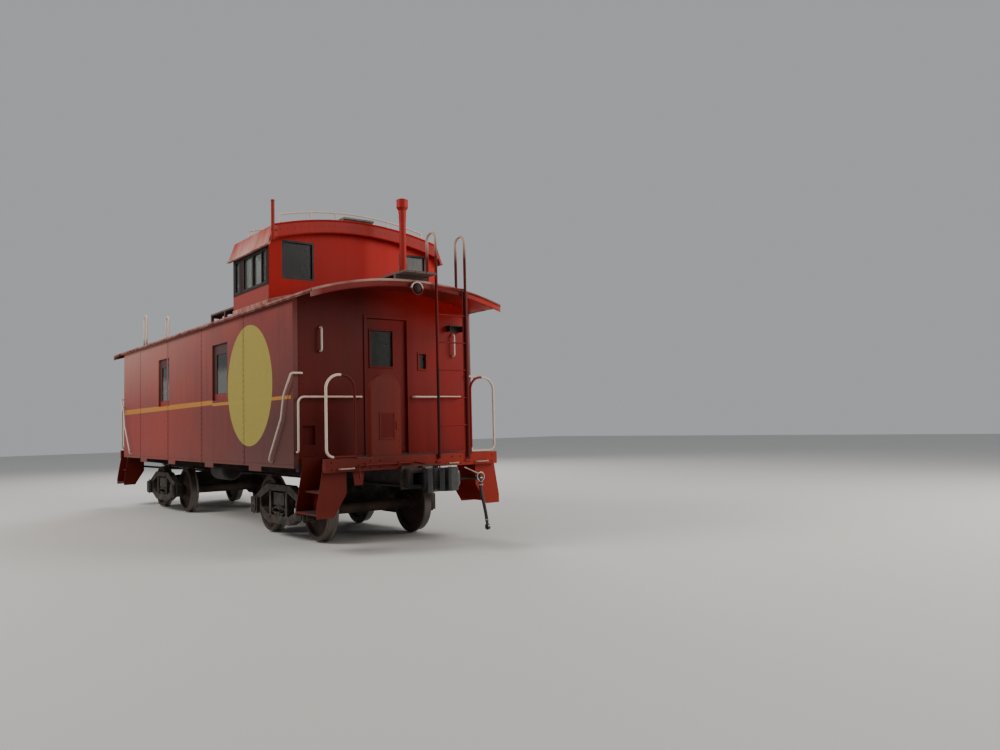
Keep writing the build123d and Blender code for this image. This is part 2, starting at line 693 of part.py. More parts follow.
# Cupola roof with the deep fascia at its ends
cupola_fascia = 200
with BuildPart() as cupola_roof:
    x_from = cupola_far - cupola_end_overhang
    x_to = cupola_near + cupola_end_overhang
    roof_length = x_to - x_from
    extrude(cupola_outline(x_from), amount=roof_length)
    with BuildPart(mode=Mode.SUBTRACT):
        extrude(cupola_outline(x_from, cupola_sheet), amount=roof_length)
        arch_centre = Location(((x_from + x_to) / 2, 0, cupola_crown - cupola_r), (0, 90, 0))
        with Locations(arch_centre):
            Cylinder(cupola_r - cupola_fascia, roof_length, mode=Mode.INTERSECT)
    extrude(cupola_outline(x_from + fascia_plate, cupola_sheet),
            amount=roof_length - 2 * fascia_plate, mode=Mode.SUBTRACT)
    block((x_from, x_to), (-cupola_roof_half, cupola_roof_half), (0, cupola_eave),
          mode=Mode.SUBTRACT)
cupola_roof.part.label = "cupola_roof"
export_step(cupola_roof.part, "parts/cupola_roof.step")

# Running boards on the main roof, on saddles, reaching past its ends, and a short walk on legs
# along each eave beside the cupola's far end
board_half = 250
board_rise = 85         # board's top above the roof's crown
board_thickness = 28
board_reach = 200
saddle_pitch = 850
plank_gap = 10
plank_y = [(-board_half, -90), (-90 + plank_gap, 90 - plank_gap), (90, board_half)]
side_board_x = (cupola_far - 1400, cupola_far - 40)
side_board_y = (1110, 1290)
side_board_mid = (side_board_y[0] + side_board_y[1]) / 2
side_board_top = roof_crown - 30
side_bearer_x = [cupola_far - 1370, cupola_far - 720, cupola_far - 70]
with BuildPart() as running_boards:
    board_top = roof_crown + board_rise
    spans = [(-roof_end - board_reach, cupola_far - 130), (cupola_near + 130, roof_end + board_reach)]
    for x_from, x_to in spans:
        for y_from, y_to in plank_y:
            block((x_from, x_to), (y_from, y_to), (board_top - board_thickness, board_top))
        seat_from = max(x_from, -roof_end) + 60
        seat_to = min(x_to, roof_end) - 60
        count = max(2, round((seat_to - seat_from) / saddle_pitch) + 1)
        for i in range(count):
            x = seat_from + (seat_to - seat_from) * i / (count - 1)
            block((x - 25, x + 25), (-board_half, board_half),
                  (roof_crown + seat_gap, board_top - board_thickness))
    for side in (-1, 1):
        for y_from, y_to in ((side_board_y[0], side_board_mid - plank_gap / 2),
                             (side_board_mid + plank_gap / 2, side_board_y[1])):
            block(side_board_x, sorted((side * y_from, side * y_to)),
                  (side_board_top - board_thickness, side_board_top))
        bearer_top = side_board_top - board_thickness
        legs = (side_board_y[0], side_board_y[0] + 40, side_board_y[1] - 40, side_board_y[1])
        feet = [(side * y, roof_z(y) + seat_gap) for y in legs]
        for x in side_bearer_x:
            panel(x - 25,
                  [(side * legs[0], bearer_top), feet[0], feet[1], (side * legs[1], bearer_top - 35),
                   (side * legs[2], bearer_top - 35), feet[2], feet[3], (side * legs[3], bearer_top)],
                  50)
running_boards.part.label = "running_boards"
export_step(running_boards.part, "parts/running_boards.step")

# Walk on the cupola's roof, with a curved handrail across each end
walk_rise = 60
handrail_rise = 150
handrail_r = 13
handrail_half = 1200
handrail_inset = 90
handrail_posts = [-1180, -720, -320, 560, 1180]
with BuildPart() as cupola_walk:
    x_from = cupola_far - 60
    x_to = cupola_near + 60
    walk_top = cupola_crown + walk_rise
    for y_from, y_to in plank_y:
        block((x_from, x_to), (y_from, y_to), (walk_top - board_thickness, walk_top))
    for x in (x_from + 60, (x_from + x_to) / 2, x_to - 60):
        block((x - 25, x + 25), (-board_half, board_half),
              (cupola_crown + seat_gap, walk_top - board_thickness))
    for x in (cupola_far + handrail_inset, cupola_near - handrail_inset):
        with BuildLine() as route:
            ThreePointArc((x, -handrail_half, cupola_z(handrail_half) + handrail_rise),
                          (x, 0, cupola_crown + handrail_rise),
                          (x, handrail_half, cupola_z(handrail_half) + handrail_rise))
        with BuildSketch(Plane(origin=route.line @ 0, z_dir=route.line % 0)) as section:
            RegularPolygon(handrail_r, 12)
        sweep(sections=section.sketch, path=route.line)
        for y in handrail_posts:
            foot = cupola_z(abs(y) - handrail_r) + seat_gap
            pipe([(x, y, foot), (x, y, cupola_z(y) + handrail_rise)], handrail_r, 0)
cupola_walk.part.label = "cupola_walk"
export_step(cupola_walk.part, "parts/cupola_walk.step")

# Smokestack with its cap, and the vent pole up the cupola's end fascia
stack_inset = 300       # from the body's end
stack_x = half_length - stack_inset
stack_y = 450
stack_r = 50
stack_cap_r = 83
stack_base_r = 95
stack_top = roof_crown + 1405
with BuildPart() as smokestack:
    with BuildSketch(Plane.XZ.offset(-stack_y)) as outline:
        base_z = roof_z(stack_y - stack_base_r) + seat_gap
        with BuildLine():
            Polyline((stack_x, base_z), (stack_x + stack_base_r, base_z),
                     (stack_x + stack_r, base_z + 120), (stack_x + stack_r, stack_top - 160),
                     (stack_x + stack_cap_r, stack_top - 130), (stack_x + stack_cap_r, stack_top - 40),
                     (stack_x + stack_r, stack_top), (stack_x, stack_top), close=True)
        make_face()
    revolve(outline.sketch, axis=Axis((stack_x, stack_y, 0), (0, 0, 1)), revolution_arc=360)
smokestack.part.label = "smokestack"
export_step(smokestack.part, "parts/smokestack.step")

pole_y = -1380
pole_r = 25
pole_x = cupola_near + cupola_end_overhang + pole_r + seat_gap
pole_foot = cupola_eave + 60
pole_top = cupola_crown + 130
with BuildPart() as vent_pole:
    pipe([(pole_x, pole_y, pole_foot), (pole_x, pole_y, pole_top)], pole_r, 0)
vent_pole.part.label = "vent_pole"
export_step(vent_pole.part, "parts/vent_pole.step")

# Brake cylinder and reservoir under the floor, each hung on two straps
tanks = [(-300, -650, 180, 700), (350, 620, 200, 1000)]     # x and y middle, radius, length
tank_z = rail_top + 860
with BuildPart() as brake_gear:
    for x, y, tank_r, length in tanks:
        with BuildPart() as tank:
            with Locations(Location((x, y, tank_z), (0, 90, 0))):
                Cylinder(tank_r, length)
            fillet(tank.part.edges().filter_by(GeomType.CIRCLE), tank_r / 3)
        add(tank.part)
        for shift in (-200, 200):
            block((x + shift - 20, x + shift + 20), (y - 60, y + 60),
                  (tank_z + tank_r - 20, floor_under))
brake_gear.part.label = "brake_gear"
export_step(brake_gear.part, "parts/brake_gear.step")

# Train pipe with an angle cock at each end, on small straps under the centre sill
train_r = 21
train_y = 225
train_z = rail_top + 745
cock_x = sill_x + 70
cock_y = 955
cock_z = rail_top + 820
cock_r = 34
with BuildPart() as train_pipe:
    pipe([(cock_x, cock_y, cock_z), (sill_x - 200, cock_y, cock_z),
          (half_length + 120, train_y + 120, train_z), (half_length - 150, train_y, train_z),
          (-600, train_y, train_z), (-1000, -train_y, train_z),
          (150 - half_length, -train_y, train_z), (-half_length - 120, -train_y - 120, train_z),
          (200 - sill_x, -cock_y, cock_z), (-cock_x, -cock_y, cock_z)], train_r, 60)
    for end in (-1, 1):
        for x in (700, truck_x - 600, half_length - 250):
            if end > 0 or x > 1000:
                block((end * x - 14, end * x + 14),
                      sorted((end * (train_y - 16), end * (train_y + 16))),
                      (train_z, sill_depth_bottom))
        with Locations(Location((end * (cock_x + 10), end * cock_y, cock_z), (0, 90, 0))):
            Cylinder(cock_r, 80)
        with Locations((end * (cock_x + 10), end * cock_y, cock_z + 30)):
            Cylinder(14, 60)
        block(sorted((end * (cock_x - 60), end * (cock_x + 24))),
              (end * cock_y - 9, end * cock_y + 9), (cock_z + 52, cock_z + 64))
        with Locations((end * (cock_x + 30), end * cock_y, cock_z - 30)):
            Cylinder(27, 60)
train_pipe.part.label = "train_pipe"
export_step(train_pipe.part, "parts/train_pipe.step")

# Air hose of the near end, hanging from its angle cock, and its coupling head
hose_r = 23
hose_x = cock_x + 30
hose_top = cock_z - 60
hose_points = [Vector(hose_x, cock_y, hose_top), Vector(hose_x, cock_y, hose_top - 110),
               Vector(hose_x + 22, cock_y + 30, hose_top - 275),
               Vector(hose_x + 30, cock_y + 62, hose_top - 440),
               Vector(hose_x + 26, cock_y + 78, hose_top - 540)]
hose_radii = []
for before, point, after in zip(hose_points, hose_points[1:], hose_points[2:]):
    half_turn = radians((point - before).get_angle(after - point) / 2)
    shorter_run = min((point - before).length, (after - point).length)
    hose_radii.append(0.45 * shorter_run / tan(half_turn))
print("hose bend radii", [round(radius) for radius in hose_radii])
with BuildPart() as air_hose:
    with BuildLine() as route:
        FilletPolyline(*hose_points, radius=hose_radii)
    with BuildSketch(Plane(origin=route.line @ 0, z_dir=route.line % 0)):
        Circle(hose_r)
    sweep(path=route.line)
    hose_end = route.line @ 1
    hose_way = route.line % 1
    hose_length = sum(edge.length for edge in route.edges())
    print("hose length", round(hose_length), "volume over section and length",
          round(air_hose.part.volume / (pi * hose_r ** 2 * hose_length), 3))
air_hose.part.label = "air_hose"
export_step(air_hose.part, "parts/air_hose.step")

with BuildPart() as glad_hand:
    with BuildSketch(Plane(origin=hose_end, z_dir=hose_way)) as section:
        Circle(20)
    extrude(section.sketch, amount=55)
    head_middle = hose_end + hose_way * 75
    with Locations(Location((head_middle.X, head_middle.Y, head_middle.Z), (90, 0, 0))):
        Cylinder(42, 34)
        Cylinder(16, 44)
glad_hand.part.label = "glad_hand"
export_step(glad_hand.part, "parts/glad_hand.step")

# Inside: locker platforms with facing seats under the cupola, bunk lockers and the stove
locker_y = (700, 1340)
locker_top = rail_top + 2775
seat_length = 430
back_top = rail_top + 3200
with BuildPart() as cupola_lockers:
    for side in (-1, 1):
        across = sorted((side * locker_y[0], side * locker_y[1]))
        block((cupola_far + 20, cupola_near - 20), across, (floor_top, locker_top))
        step_y = sorted((side * (locker_y[0] - 130), side * locker_y[0]))
        for i in range(3):
            z = floor_top + 420 * (i + 1)
            block((cupola_far + 560, cupola_far + 830), step_y, (z - 25, z))
cupola_lockers.part.label = "cupola_lockers"
export_step(cupola_lockers.part, "parts/cupola_lockers.step")

with BuildPart() as cupola_seats:
    for side in (-1, 1):
        across = sorted((side * (locker_y[0] + 60), side * (locker_y[1] - 40)))
        for x, lean in ((cupola_far + 70, 1), (cupola_near - 70, -1)):
            block(sorted((x, x + lean * seat_length)), across, (locker_top, locker_top + 110))
            block(sorted((x, x + lean * 90)), across, (locker_top, back_top))
cupola_seats.part.label = "cupola_seats"
export_step(cupola_seats.part, "parts/cupola_seats.step")

bunk_x = (200 - half_length, -1100)
bunk_top = rail_top + 1630
with BuildPart() as bunk_lockers:
    for side in (-1, 1):
        block(bunk_x, sorted((side * locker_y[0], side * locker_y[1])), (floor_top, bunk_top - 90))
        block((bunk_x[0] + 20, bunk_x[1] - 20),
              sorted((side * (locker_y[0] + 20), side * (locker_y[1] - 10))),
              (bunk_top - 90, bunk_top))
bunk_lockers.part.label = "bunk_lockers"
export_step(bunk_lockers.part, "parts/bunk_lockers.step")

stove_y = stack_y + 70
stove_r = 165
stove_top = rail_top + 1950
with BuildPart() as stove:
    with BuildSketch(Plane.XZ.offset(-stove_y)) as outline:
        with BuildLine():
            Polyline((stack_x, floor_top), (stack_x + stove_r, floor_top),
                     (stack_x + stove_r, floor_top + 40), (stack_x + stove_r - 45, floor_top + 90),
                     (stack_x + stove_r - 25, floor_top + 380), (stack_x + stove_r - 25, stove_top - 40),
                     (stack_x + stove_r - 5, stove_top - 30), (stack_x + stove_r - 5, stove_top),
                     (stack_x, stove_top), close=True)
        make_face()
    revolve(outline.sketch, axis=Axis((stack_x, stove_y, 0), (0, 0, 1)), revolution_arc=360)
    pipe([(stack_x, stack_y, stove_top - 10),
          (stack_x, stack_y, roof_z(stack_y + stack_r, roof_sheet) - 1)], stack_r, 0)
stove.part.label = "stove"
export_step(stove.part, "parts/stove.step")

# Trucks, modelled at the middle of the car and moved to their centres.
frame_y = journal_span / 2
frame_thickness = 110
frame_top = rail_top + 755
frame_bottom = rail_top + 190
spring_seat = rail_top + 305
column_x = 330
spring_half = 260
box_half = 130
box_depth = 190
bolster_x = 190
bolster_foot = spring_seat + 150
bolster_end = frame_y + 40

with BuildPart() as side_frames:
    for side in (-1, 1):
        y_mid = side * frame_y
        with BuildSketch(Plane.XZ.offset(-y_mid - frame_thickness / 2)) as face:
            with BuildLine():
                FilletPolyline((-1000, axle_z - 110), (-700, axle_z - 120), (-400, frame_bottom),
                               (400, frame_bottom), (700, axle_z - 120), (1000, axle_z - 110),
                               (1000, axle_z + 120), (860, axle_z + 150), (430, frame_top),
                               (-430, frame_top), (-860, axle_z + 150), (-1000, axle_z + 120),
                               radius=35, close=True)
            make_face()
            with BuildLine():
                FilletPolyline((-spring_half, spring_seat), (spring_half, spring_seat),
                               (spring_half, frame_top - 90), (-spring_half, frame_top - 90),
                               radius=30, close=True)
            make_face(mode=Mode.SUBTRACT)
            for turn in (-1, 1):
                with BuildLine():
                    FilletPolyline((turn * column_x, spring_seat - 10), (turn * 640, axle_z - 20),
                                   (turn * 640, axle_z + 130), (turn * column_x, frame_top - 95),
                                   radius=28, close=True)
                make_face(mode=Mode.SUBTRACT)
        extrude(face.sketch, amount=frame_thickness)
        for x in (-axle_base / 2, axle_base / 2):
            block((x - box_half, x + box_half), (y_mid - box_depth / 2, y_mid + box_depth / 2),
                  (axle_z - 120, axle_z + 120))
            bore_end = y_mid + side * (box_depth / 2 - 15)
            bore_start = y_mid - side * (box_depth / 2)
            with Locations(Location((x, (bore_end + bore_start) / 2, axle_z), (90, 0, 0))):
                Cylinder(journal_r + bearing_gap, abs(bore_end - bore_start), mode=Mode.SUBTRACT)

with BuildPart() as truck_bolster:
    panel(-bolster_x,
          [(-bolster_end, bolster_foot), (-frame_y + 75, bolster_foot),
           (-300, spring_seat + 60), (300, spring_seat + 60),
           (frame_y - 75, bolster_foot), (bolster_end, bolster_foot),
           (bolster_end, frame_top - 120), (300, bowl_top - 50),
           (-300, bowl_top - 50), (-bolster_end, frame_top - 120)],
          2 * bolster_x)
    with Locations((0, 0, bowl_top - 50)):
        Cylinder(centre_plate_r + 15, 50, align=(Align.CENTER, Align.CENTER, Align.MIN))

# Elliptic leaf springs: an upper and a lower bow that meet at their ends, and the buckle
spring_reach = 235
leaf_pack = 42
with BuildPart() as truck_springs:
    spring_mid = (spring_seat + bolster_foot) / 2
    for side in (-1, 1):
        with BuildSketch(Plane.XZ.offset(-side * frame_y - 50)) as bows:
            for top in (spring_seat, bolster_foot):
                inner_z = top + (leaf_pack if top < spring_mid else -leaf_pack)
                end_z = 14 if top < spring_mid else -14
                with BuildLine():
                    ThreePointArc((-spring_reach, spring_mid - end_z), (0, top),
                                  (spring_reach, spring_mid - end_z))
                    Line((spring_reach, spring_mid - end_z), (spring_reach, spring_mid + end_z))
                    ThreePointArc((spring_reach, spring_mid + end_z), (0, inner_z),
                                  (-spring_reach, spring_mid + end_z))
                    Line((-spring_reach, spring_mid + end_z), (-spring_reach, spring_mid - end_z))
                make_face()
        extrude(bows.sketch, amount=100)
        block((-48, 48), (side * frame_y - 54, side * frame_y + 54), (spring_seat, bolster_foot))

# Brake beams between the wheels and the bolster, with shoes and hangers
shoe_gap = 8
shoe_depth = 42
shoe_y = (738, 808)
beam_x = (322, 372)
hanger_z = axle_z + 250
with BuildPart() as truck_brakes:
    for turn in (-1, 1):
        axle_x = turn * axle_base / 2
        block(sorted((turn * beam_x[0], turn * beam_x[1])), (-shoe_y[1], shoe_y[1]),
              (axle_z - 60, axle_z - 10))
        for side in (-1, 1):
            shoe = sorted((side * shoe_y[0], side * shoe_y[1]))
            with BuildPart() as shoe_block:
                block(sorted((turn * beam_x[0], turn * (beam_x[1] + 70))), shoe,
                      (axle_z - 150, axle_z + 80))
                with Locations(Location((axle_x, (shoe[0] + shoe[1]) / 2, axle_z), (90, 0, 0))):
                    Cylinder(tread_r + 2 + shoe_gap, shoe[1] - shoe[0], mode=Mode.SUBTRACT)
                with Locations(Location((axle_x, (shoe[0] + shoe[1]) / 2, axle_z), (90, 0, 0))):
                    Cylinder(tread_r + 2 + shoe_gap + shoe_depth, shoe[1] - shoe[0],
                             mode=Mode.INTERSECT)
            add(shoe_block.part)
            block(sorted((turn * (beam_x[0] + 14), turn * (beam_x[0] + 30))),
                  (shoe[0] + 22, shoe[1] - 22), (axle_z - 60, hanger_z))
            block(sorted((turn * beam_x[0], turn * (beam_x[0] + 44))),
                  sorted((side * (shoe_y[0] + 14), side * (frame_y - frame_thickness / 2))),
                  (hanger_z - 16, hanger_z + 16))

with BuildPart() as wheelset:
    hub_outer = wheel_back / 2 + rim_width
    half_journal = journal_span / 2 + journal_length / 2 - 20
    with BuildSketch(Plane.YZ) as half_axle:
        with BuildLine():
            Polyline((0, 0), (half_journal, 0), (half_journal, journal_r),
                     (frame_y - box_depth / 2 - 35, journal_r),
                     (frame_y - box_depth / 2 - 35, axle_r), (hub_outer + 20, axle_r),
                     (hub_outer + 20, 132), (hub_outer - 55, 145), (hub_outer - 50, 350),
                     (hub_outer, 362), (hub_outer, tread_r - 2),
                     (wheel_back / 2 + 42, tread_r + 2), (wheel_back / 2 + 28, tread_r + 25),
                     (wheel_back / 2 + 10, tread_r + 23), (wheel_back / 2, tread_r),
                     (wheel_back / 2, 350), (wheel_back / 2 + 45, 340),
                     (wheel_back / 2 + 45, 145), (wheel_back / 2 - 20, 132),
                     (wheel_back / 2 - 20, axle_r), (0, axle_r), close=True)
        make_face()
    revolve(half_axle.sketch, axis=Axis.Y, revolution_arc=360)
    mirror(about=Plane.XZ)

for truck_name, centre in (("near", truck_x), ("far", -truck_x)):
    for built, label in ((side_frames, "truck_frames"), (truck_bolster, "truck_bolster"),
                         (truck_springs, "truck_springs"), (truck_brakes, "truck_brakes")):
        placed = built.part.moved(Location((centre, 0, 0)))
        placed.label = f"{label}_{truck_name}"
        export_step(placed, f"parts/{label}_{truck_name}.step")
    for axle_name, shift in (("outer", axle_base / 2), ("inner", -axle_base / 2)):
        x = centre + shift if centre > 0 else centre - shift
        placed = wheelset.part.moved(Location((x, 0, axle_z)))
        placed.label = f"wheelset_{truck_name}_{axle_name}"
        export_step(placed, f"parts/wheelset_{truck_name}_{axle_name}.step")
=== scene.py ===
from itertools import product
from math import asin, cos, pi, radians, sin

import bmesh
import bpy
from mathutils import Matrix, Vector


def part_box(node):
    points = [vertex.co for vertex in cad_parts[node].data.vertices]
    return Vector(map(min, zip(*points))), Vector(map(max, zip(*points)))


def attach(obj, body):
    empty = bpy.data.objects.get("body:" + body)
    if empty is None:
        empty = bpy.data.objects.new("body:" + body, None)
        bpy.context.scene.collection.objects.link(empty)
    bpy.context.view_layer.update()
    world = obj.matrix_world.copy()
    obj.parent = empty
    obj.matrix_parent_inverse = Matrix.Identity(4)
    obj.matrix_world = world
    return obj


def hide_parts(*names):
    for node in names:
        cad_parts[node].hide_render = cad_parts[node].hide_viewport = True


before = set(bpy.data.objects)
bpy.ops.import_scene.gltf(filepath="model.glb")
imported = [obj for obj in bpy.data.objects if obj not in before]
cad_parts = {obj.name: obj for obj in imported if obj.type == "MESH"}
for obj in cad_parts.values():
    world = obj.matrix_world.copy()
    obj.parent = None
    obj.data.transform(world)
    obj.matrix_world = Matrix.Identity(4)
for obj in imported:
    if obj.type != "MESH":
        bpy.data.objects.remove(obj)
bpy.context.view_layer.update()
carEnds = ((1, "near"), (-1, "far"))  # each end's direction along x and its name
print("frame loaded:", len(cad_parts), "nodes")


# The camera stands where the photograph was taken from
cameraView = {
    "focalPixels": 819.4, "imageWidth": 1000, "sensor": 36.0,
    "yaw": 37.58, "pitch": 3.44, "roll": -1.39,  # degrees
    "place": (14.565, -5.780, 1.584),
}


def addObject(name, data):
    made = bpy.data.objects.new(name, data)
    bpy.context.scene.collection.objects.link(made)
    return made


def addCamera(view):
    yaw, pitch, roll = (radians(view[key]) for key in ("yaw", "pitch", "roll"))
    lens = bpy.data.cameras.new("camera")
    lens.sensor_width = view["sensor"]
    lens.lens = view["focalPixels"] / view["imageWidth"] * view["sensor"]
    camera = addObject("camera", lens)
    heading = Matrix.Translation(view["place"]) @ Matrix.Rotation(pi / 2 - yaw, 4, "Z")
    tilt = Matrix.Rotation(pi / 2 + pitch, 4, "X") @ Matrix.Rotation(roll, 4, "Z")
    camera.matrix_world = heading @ tilt
    bpy.context.scene.camera = camera


addCamera(cameraView)
print("camera placed")


# Shader sums written as Python expressions
class Signal:
    def __init__(self, finish, socket):
        self.finish = finish
        self.socket = socket

    def __add__(self, other):
        return self.finish.maths("ADD", self, other)

    def __sub__(self, other):
        return self.finish.maths("SUBTRACT", self, other)

    def __rsub__(self, other):
        return self.finish.maths("SUBTRACT", other, self)

    def __mul__(self, other):
        return self.finish.maths("MULTIPLY", self, other)

    __radd__, __rmul__ = __add__, __mul__  # the same in either order

    def __abs__(self):
        return self.finish.maths("ABSOLUTE", self)


class Finish:
    def __init__(self, name, fixed):
        self.material = bpy.data.materials.new(name)
        self.material.use_nodes = True
        tree = self.material.node_tree
        self.nodes, self.links = tree.nodes, tree.links
        self.shader = self.nodes["Principled BSDF"]
        for socketName, value in fixed.items():
            self.shader.inputs[socketName].default_value = value
        self.place = self.node("ShaderNodeTexCoord", {}, {}, "Object")
        self.x = self.node("ShaderNodeSeparateXYZ", {}, {0: self.place}, 0)
        self.y, self.z = (Signal(self, self.x.socket.node.outputs[i]) for i in (1, 2))

    def node(self, kind, settings, sockets, output=0):
        made = self.nodes.new(kind)
        for name, value in settings.items():
            setattr(made, name, value)
        for name, value in sockets.items():
            if isinstance(value, Signal):
                self.links.new(value.socket, made.inputs[name])
            else:
                made.inputs[name].default_value = value
        return Signal(self, made.outputs[output])

    def maths(self, operation, first, second=0.0):
        return self.node("ShaderNodeMath", {"operation": operation}, {0: first, 1: second})

    def stretched(self, scale, shift=(0, 0, 0)):
        return self.node("ShaderNodeMapping", {}, {
            "Vector": self.place, "Scale": scale, "Location": shift})

    def noise(self, scale, detail=3.0, rough=0.55, vector=None):
        return self.node("ShaderNodeTexNoise", {}, {
            "Vector": vector or self.place, "Scale": scale, "Detail": detail, "Roughness": rough})

    def clouds(self, low, high, *noise):
        return self.span(self.noise(*noise), low, high)

    def span(self, value, low, high):  # 0 at low and 1 at high
        return self.node("ShaderNodeMapRange", {"clamp": True}, {
            "Value": value, "From Min": low, "From Max": high})

    def band(self, value, low, high, soft):  # 1 between low and high
        return self.span(value, low - soft, low + soft) * self.span(value, high + soft, high - soft)

    def distance(self, across, along):
        return self.maths("SQRT", across * across + along * along)

    def blend(self, factor, *colours):
        first, second = ((*c, 1.0) if isinstance(c, tuple) else c for c in colours)
        return self.node("ShaderNodeMix", {"data_type": "RGBA"}, {
            0: factor, 6: first, 7: second}, 2)

    def patch(self, colour, over, amount, *ranges):  # each range runs from clear to covered
        cover = 1.0
        for axis, clear, covered in ranges:
            place = getattr(self, axis.strip("|"))
            cover = cover * self.span(abs(place) if "|" in axis else place, clear, covered)
        return self.blend(cover * amount, colour, over)

    def close(self, colour, roughness, height, strength, distance, metallic=None):
        bump = self.node("ShaderNodeBump", {}, {
            "Strength": strength, "Distance": distance, "Height": height})
        fed = {"Base Color": colour, "Roughness": roughness, "Metallic": metallic, "Normal": bump}
        for socketName, value in fed.items():
            if value:
                self.links.new(value.socket, self.shader.inputs[socketName])
        return self.material


def table(keys, *rows):  # a dictionary of named values from each row
    return {name: dict(zip(keys.split(), values)) for name, *values in rows}


# Painted steel: sun-faded patches, rain streaks, painted shade on some reds, dust low down and rust
# at chips
reds = table(
    "fresh faded streak dust low reach rough gloss streaks lee",
    ("side", (0.195, 0.013, 0.008), (0.25, 0.032, 0.020), (0.105, 0.013, 0.015),
     (0.100, 0.027, 0.019), 1.08, 0.5, 0.46, 0.42, 0.6, 0.0),
    # painted shade: the end red is darkened to stand for the shade on the end walls
    ("end", (0.195, 0.0040, 0.0026), (0.24, 0.0065, 0.0040), (0.10, 0.003, 0.002),
     (0.13, 0.010, 0.006), 1.15, 0.4, 0.48, 0.15, 0.35, 0.72),
    ("cupola", (0.46, 0.0075, 0.0045), (0.54, 0.011, 0.007), (0.28, 0.006, 0.004),
     (0.36, 0.03, 0.02), 3.35, 0.25, 0.50, 0.14, 0.22, 0.35),
    ("hood", (0.28, 0.012, 0.009), (0.34, 0.022, 0.017), (0.18, 0.008, 0.006),
     (0.28, 0.05, 0.035), 3.35, 0.25, 0.50, 0.18, 0.3, 0.0),
    # painted shade: the orange is darkened to stand for the shade on the steps, sills and brake
    # stands
    ("orange", (0.25, 0.012, 0.0035), (0.31, 0.020, 0.006), (0.16, 0.010, 0.004),
     (0.24, 0.050, 0.026), 0.40, 0.35, 0.48, 0.18, 0.45, 0.74),
    ("roof", (0.14, 0.006, 0.0045), (0.20, 0.018, 0.013), (0.08, 0.005, 0.004),
     (0.18, 0.06, 0.045), 3.2, 0.2, 0.58, 0.18, 0.4, 0.0),
)
tints = {
    "lee": (0.040, 0.0035, 0.0015),  # painted shade, laid on darker towards -y
    "rust": (0.12, 0.040, 0.018), "cream": (0.64, 0.50, 0.41), "peeledAndLit": (0.56, 0.36, 0.30),
    "bleachAndSheen": (0.40, 0.19, 0.155), "paintedSun": (0.27, 0.026, 0.014), "shade": (0.050, 0.008, 0.005),
    "stripe": (0.42, 0.165, 0.010), "disc": (0.31, 0.25, 0.034), "seam": (0.030, 0.006, 0.006),
    "hood": (0.62, 0.54, 0.47), "stileShade": (0.018, 0.003, 0.003), "stack": (0.22, 0.048, 0.038),
}


def paintFinish(name, red, patches=(), mark=None):
    look = reds[red]
    finish = Finish(name, {"Coat Weight": 0.06, "Coat Roughness": 0.35,
                           "Specular IOR Level": look["gloss"]})
    faded = finish.clouds(0.36, 0.66, 0.9, 4.0)
    run = finish.stretched((2.2, 2.2, 0.16))
    streaks = finish.clouds(0.46, 0.72, 3.2, 5.0, 0.6, run)
    specks = finish.noise(38.0, 4.0, 0.65)
    colour = finish.blend(faded, look["fresh"], look["faded"])
    colour = finish.blend(streaks * look["streaks"], colour, look["streak"])
    # painted shade: the paint darkens towards -y
    if look["lee"]:
        colour = finish.patch(colour, tints["lee"], look["lee"], ("y", 0.95, -0.5))
    for patch in patches:
        colour = finish.patch(colour, *patch)
    if mark:
        colour = mark(finish, colour, specks)
    low = finish.span(finish.z + specks * 0.3, look["low"] + look["reach"], look["low"])
    colour = finish.blend(low * low * 0.8, colour, look["dust"])
    chips = finish.span(specks, 0.70, 0.73) * finish.span(faded, 0.2, 0.9)
    colour = finish.blend(chips, colour, tints["rust"])
    height = specks * 0.5 - chips * 0.6 + finish.noise(7.0, 2.0) * 0.8
    return finish.close(colour, look["rough"] + faded * 0.16 + chips * 0.25, height, 0.25, 0.004)


# Side walls: sun-bleached above with a painted sky sheen, painted sunlight low at the far end and
# painted shade near the end, with the belt stripe and the blank disc
sideSeams = (-3.135, -1.197, 0.741, 2.679)
sideLook = {
    "stripeX": (-4.40, 1.30, 4.40),  # far end, where the stripe narrows, near end
    "thickZ": (1.977, 2.007, 2.077), "thinZ": (1.985, 2.031), "edge": 0.004,
    "disc": (2.90, 2.235, 0.88), "seam": (0.005, 0.003),
}


def sideMark(finish, colour, specks):
    x, z, edge = finish.x, finish.z, sideLook["edge"]
    # sun-bleached paint and painted sky sheen, stronger high up and towards the far end
    bleachAndSheen = finish.span(z + specks * 0.5, 2.2, 3.5) * finish.span(x, 3.4, -4.0)
    colour = finish.blend(bleachAndSheen * 0.82, colour, tints["bleachAndSheen"])
    # painted sunlight on the lower far end, under the stripe
    colour = finish.patch(colour, tints["paintedSun"], 0.5, ("x", 1.0, -1.4), ("z", 2.05, 1.90))
    colour = finish.patch(colour, tints["shade"], 0.88, ("x", -1.5, 3.9), ("z", 3.6, 1.7))
    worn = finish.clouds(0.66, 0.56, 14.0, 5.0, 0.7)
    far, middle, near = sideLook["stripeX"]
    farLow, middleLow, top = sideLook["thickZ"]
    rise = finish.span(x, far, middle) * (middleLow - farLow)
    thick = finish.band(z - rise, farLow, top, edge) * finish.span(z, top + edge, top)
    thick = thick * finish.band(x, far, middle, edge)
    thin = finish.band(z, *sideLook["thinZ"], edge) * finish.band(x, middle, near, edge)
    stripe = finish.maths("MAXIMUM", thick, thin)
    colour = finish.blend(stripe * (0.72 + worn * 0.25), colour, tints["stripe"])
    discX, discZ, radius = sideLook["disc"]
    disc = finish.span(finish.distance(x - discX, z - discZ), radius + edge, radius - edge)
    colour = finish.blend(disc * (0.76 + worn * 0.2), colour, tints["disc"])
    half, soft = sideLook["seam"]
    for seam in sideSeams:
        line = finish.band(x, seam - half, seam + half, soft)
        colour = finish.blend(line * 0.75, colour, tints["seam"])
    return colour


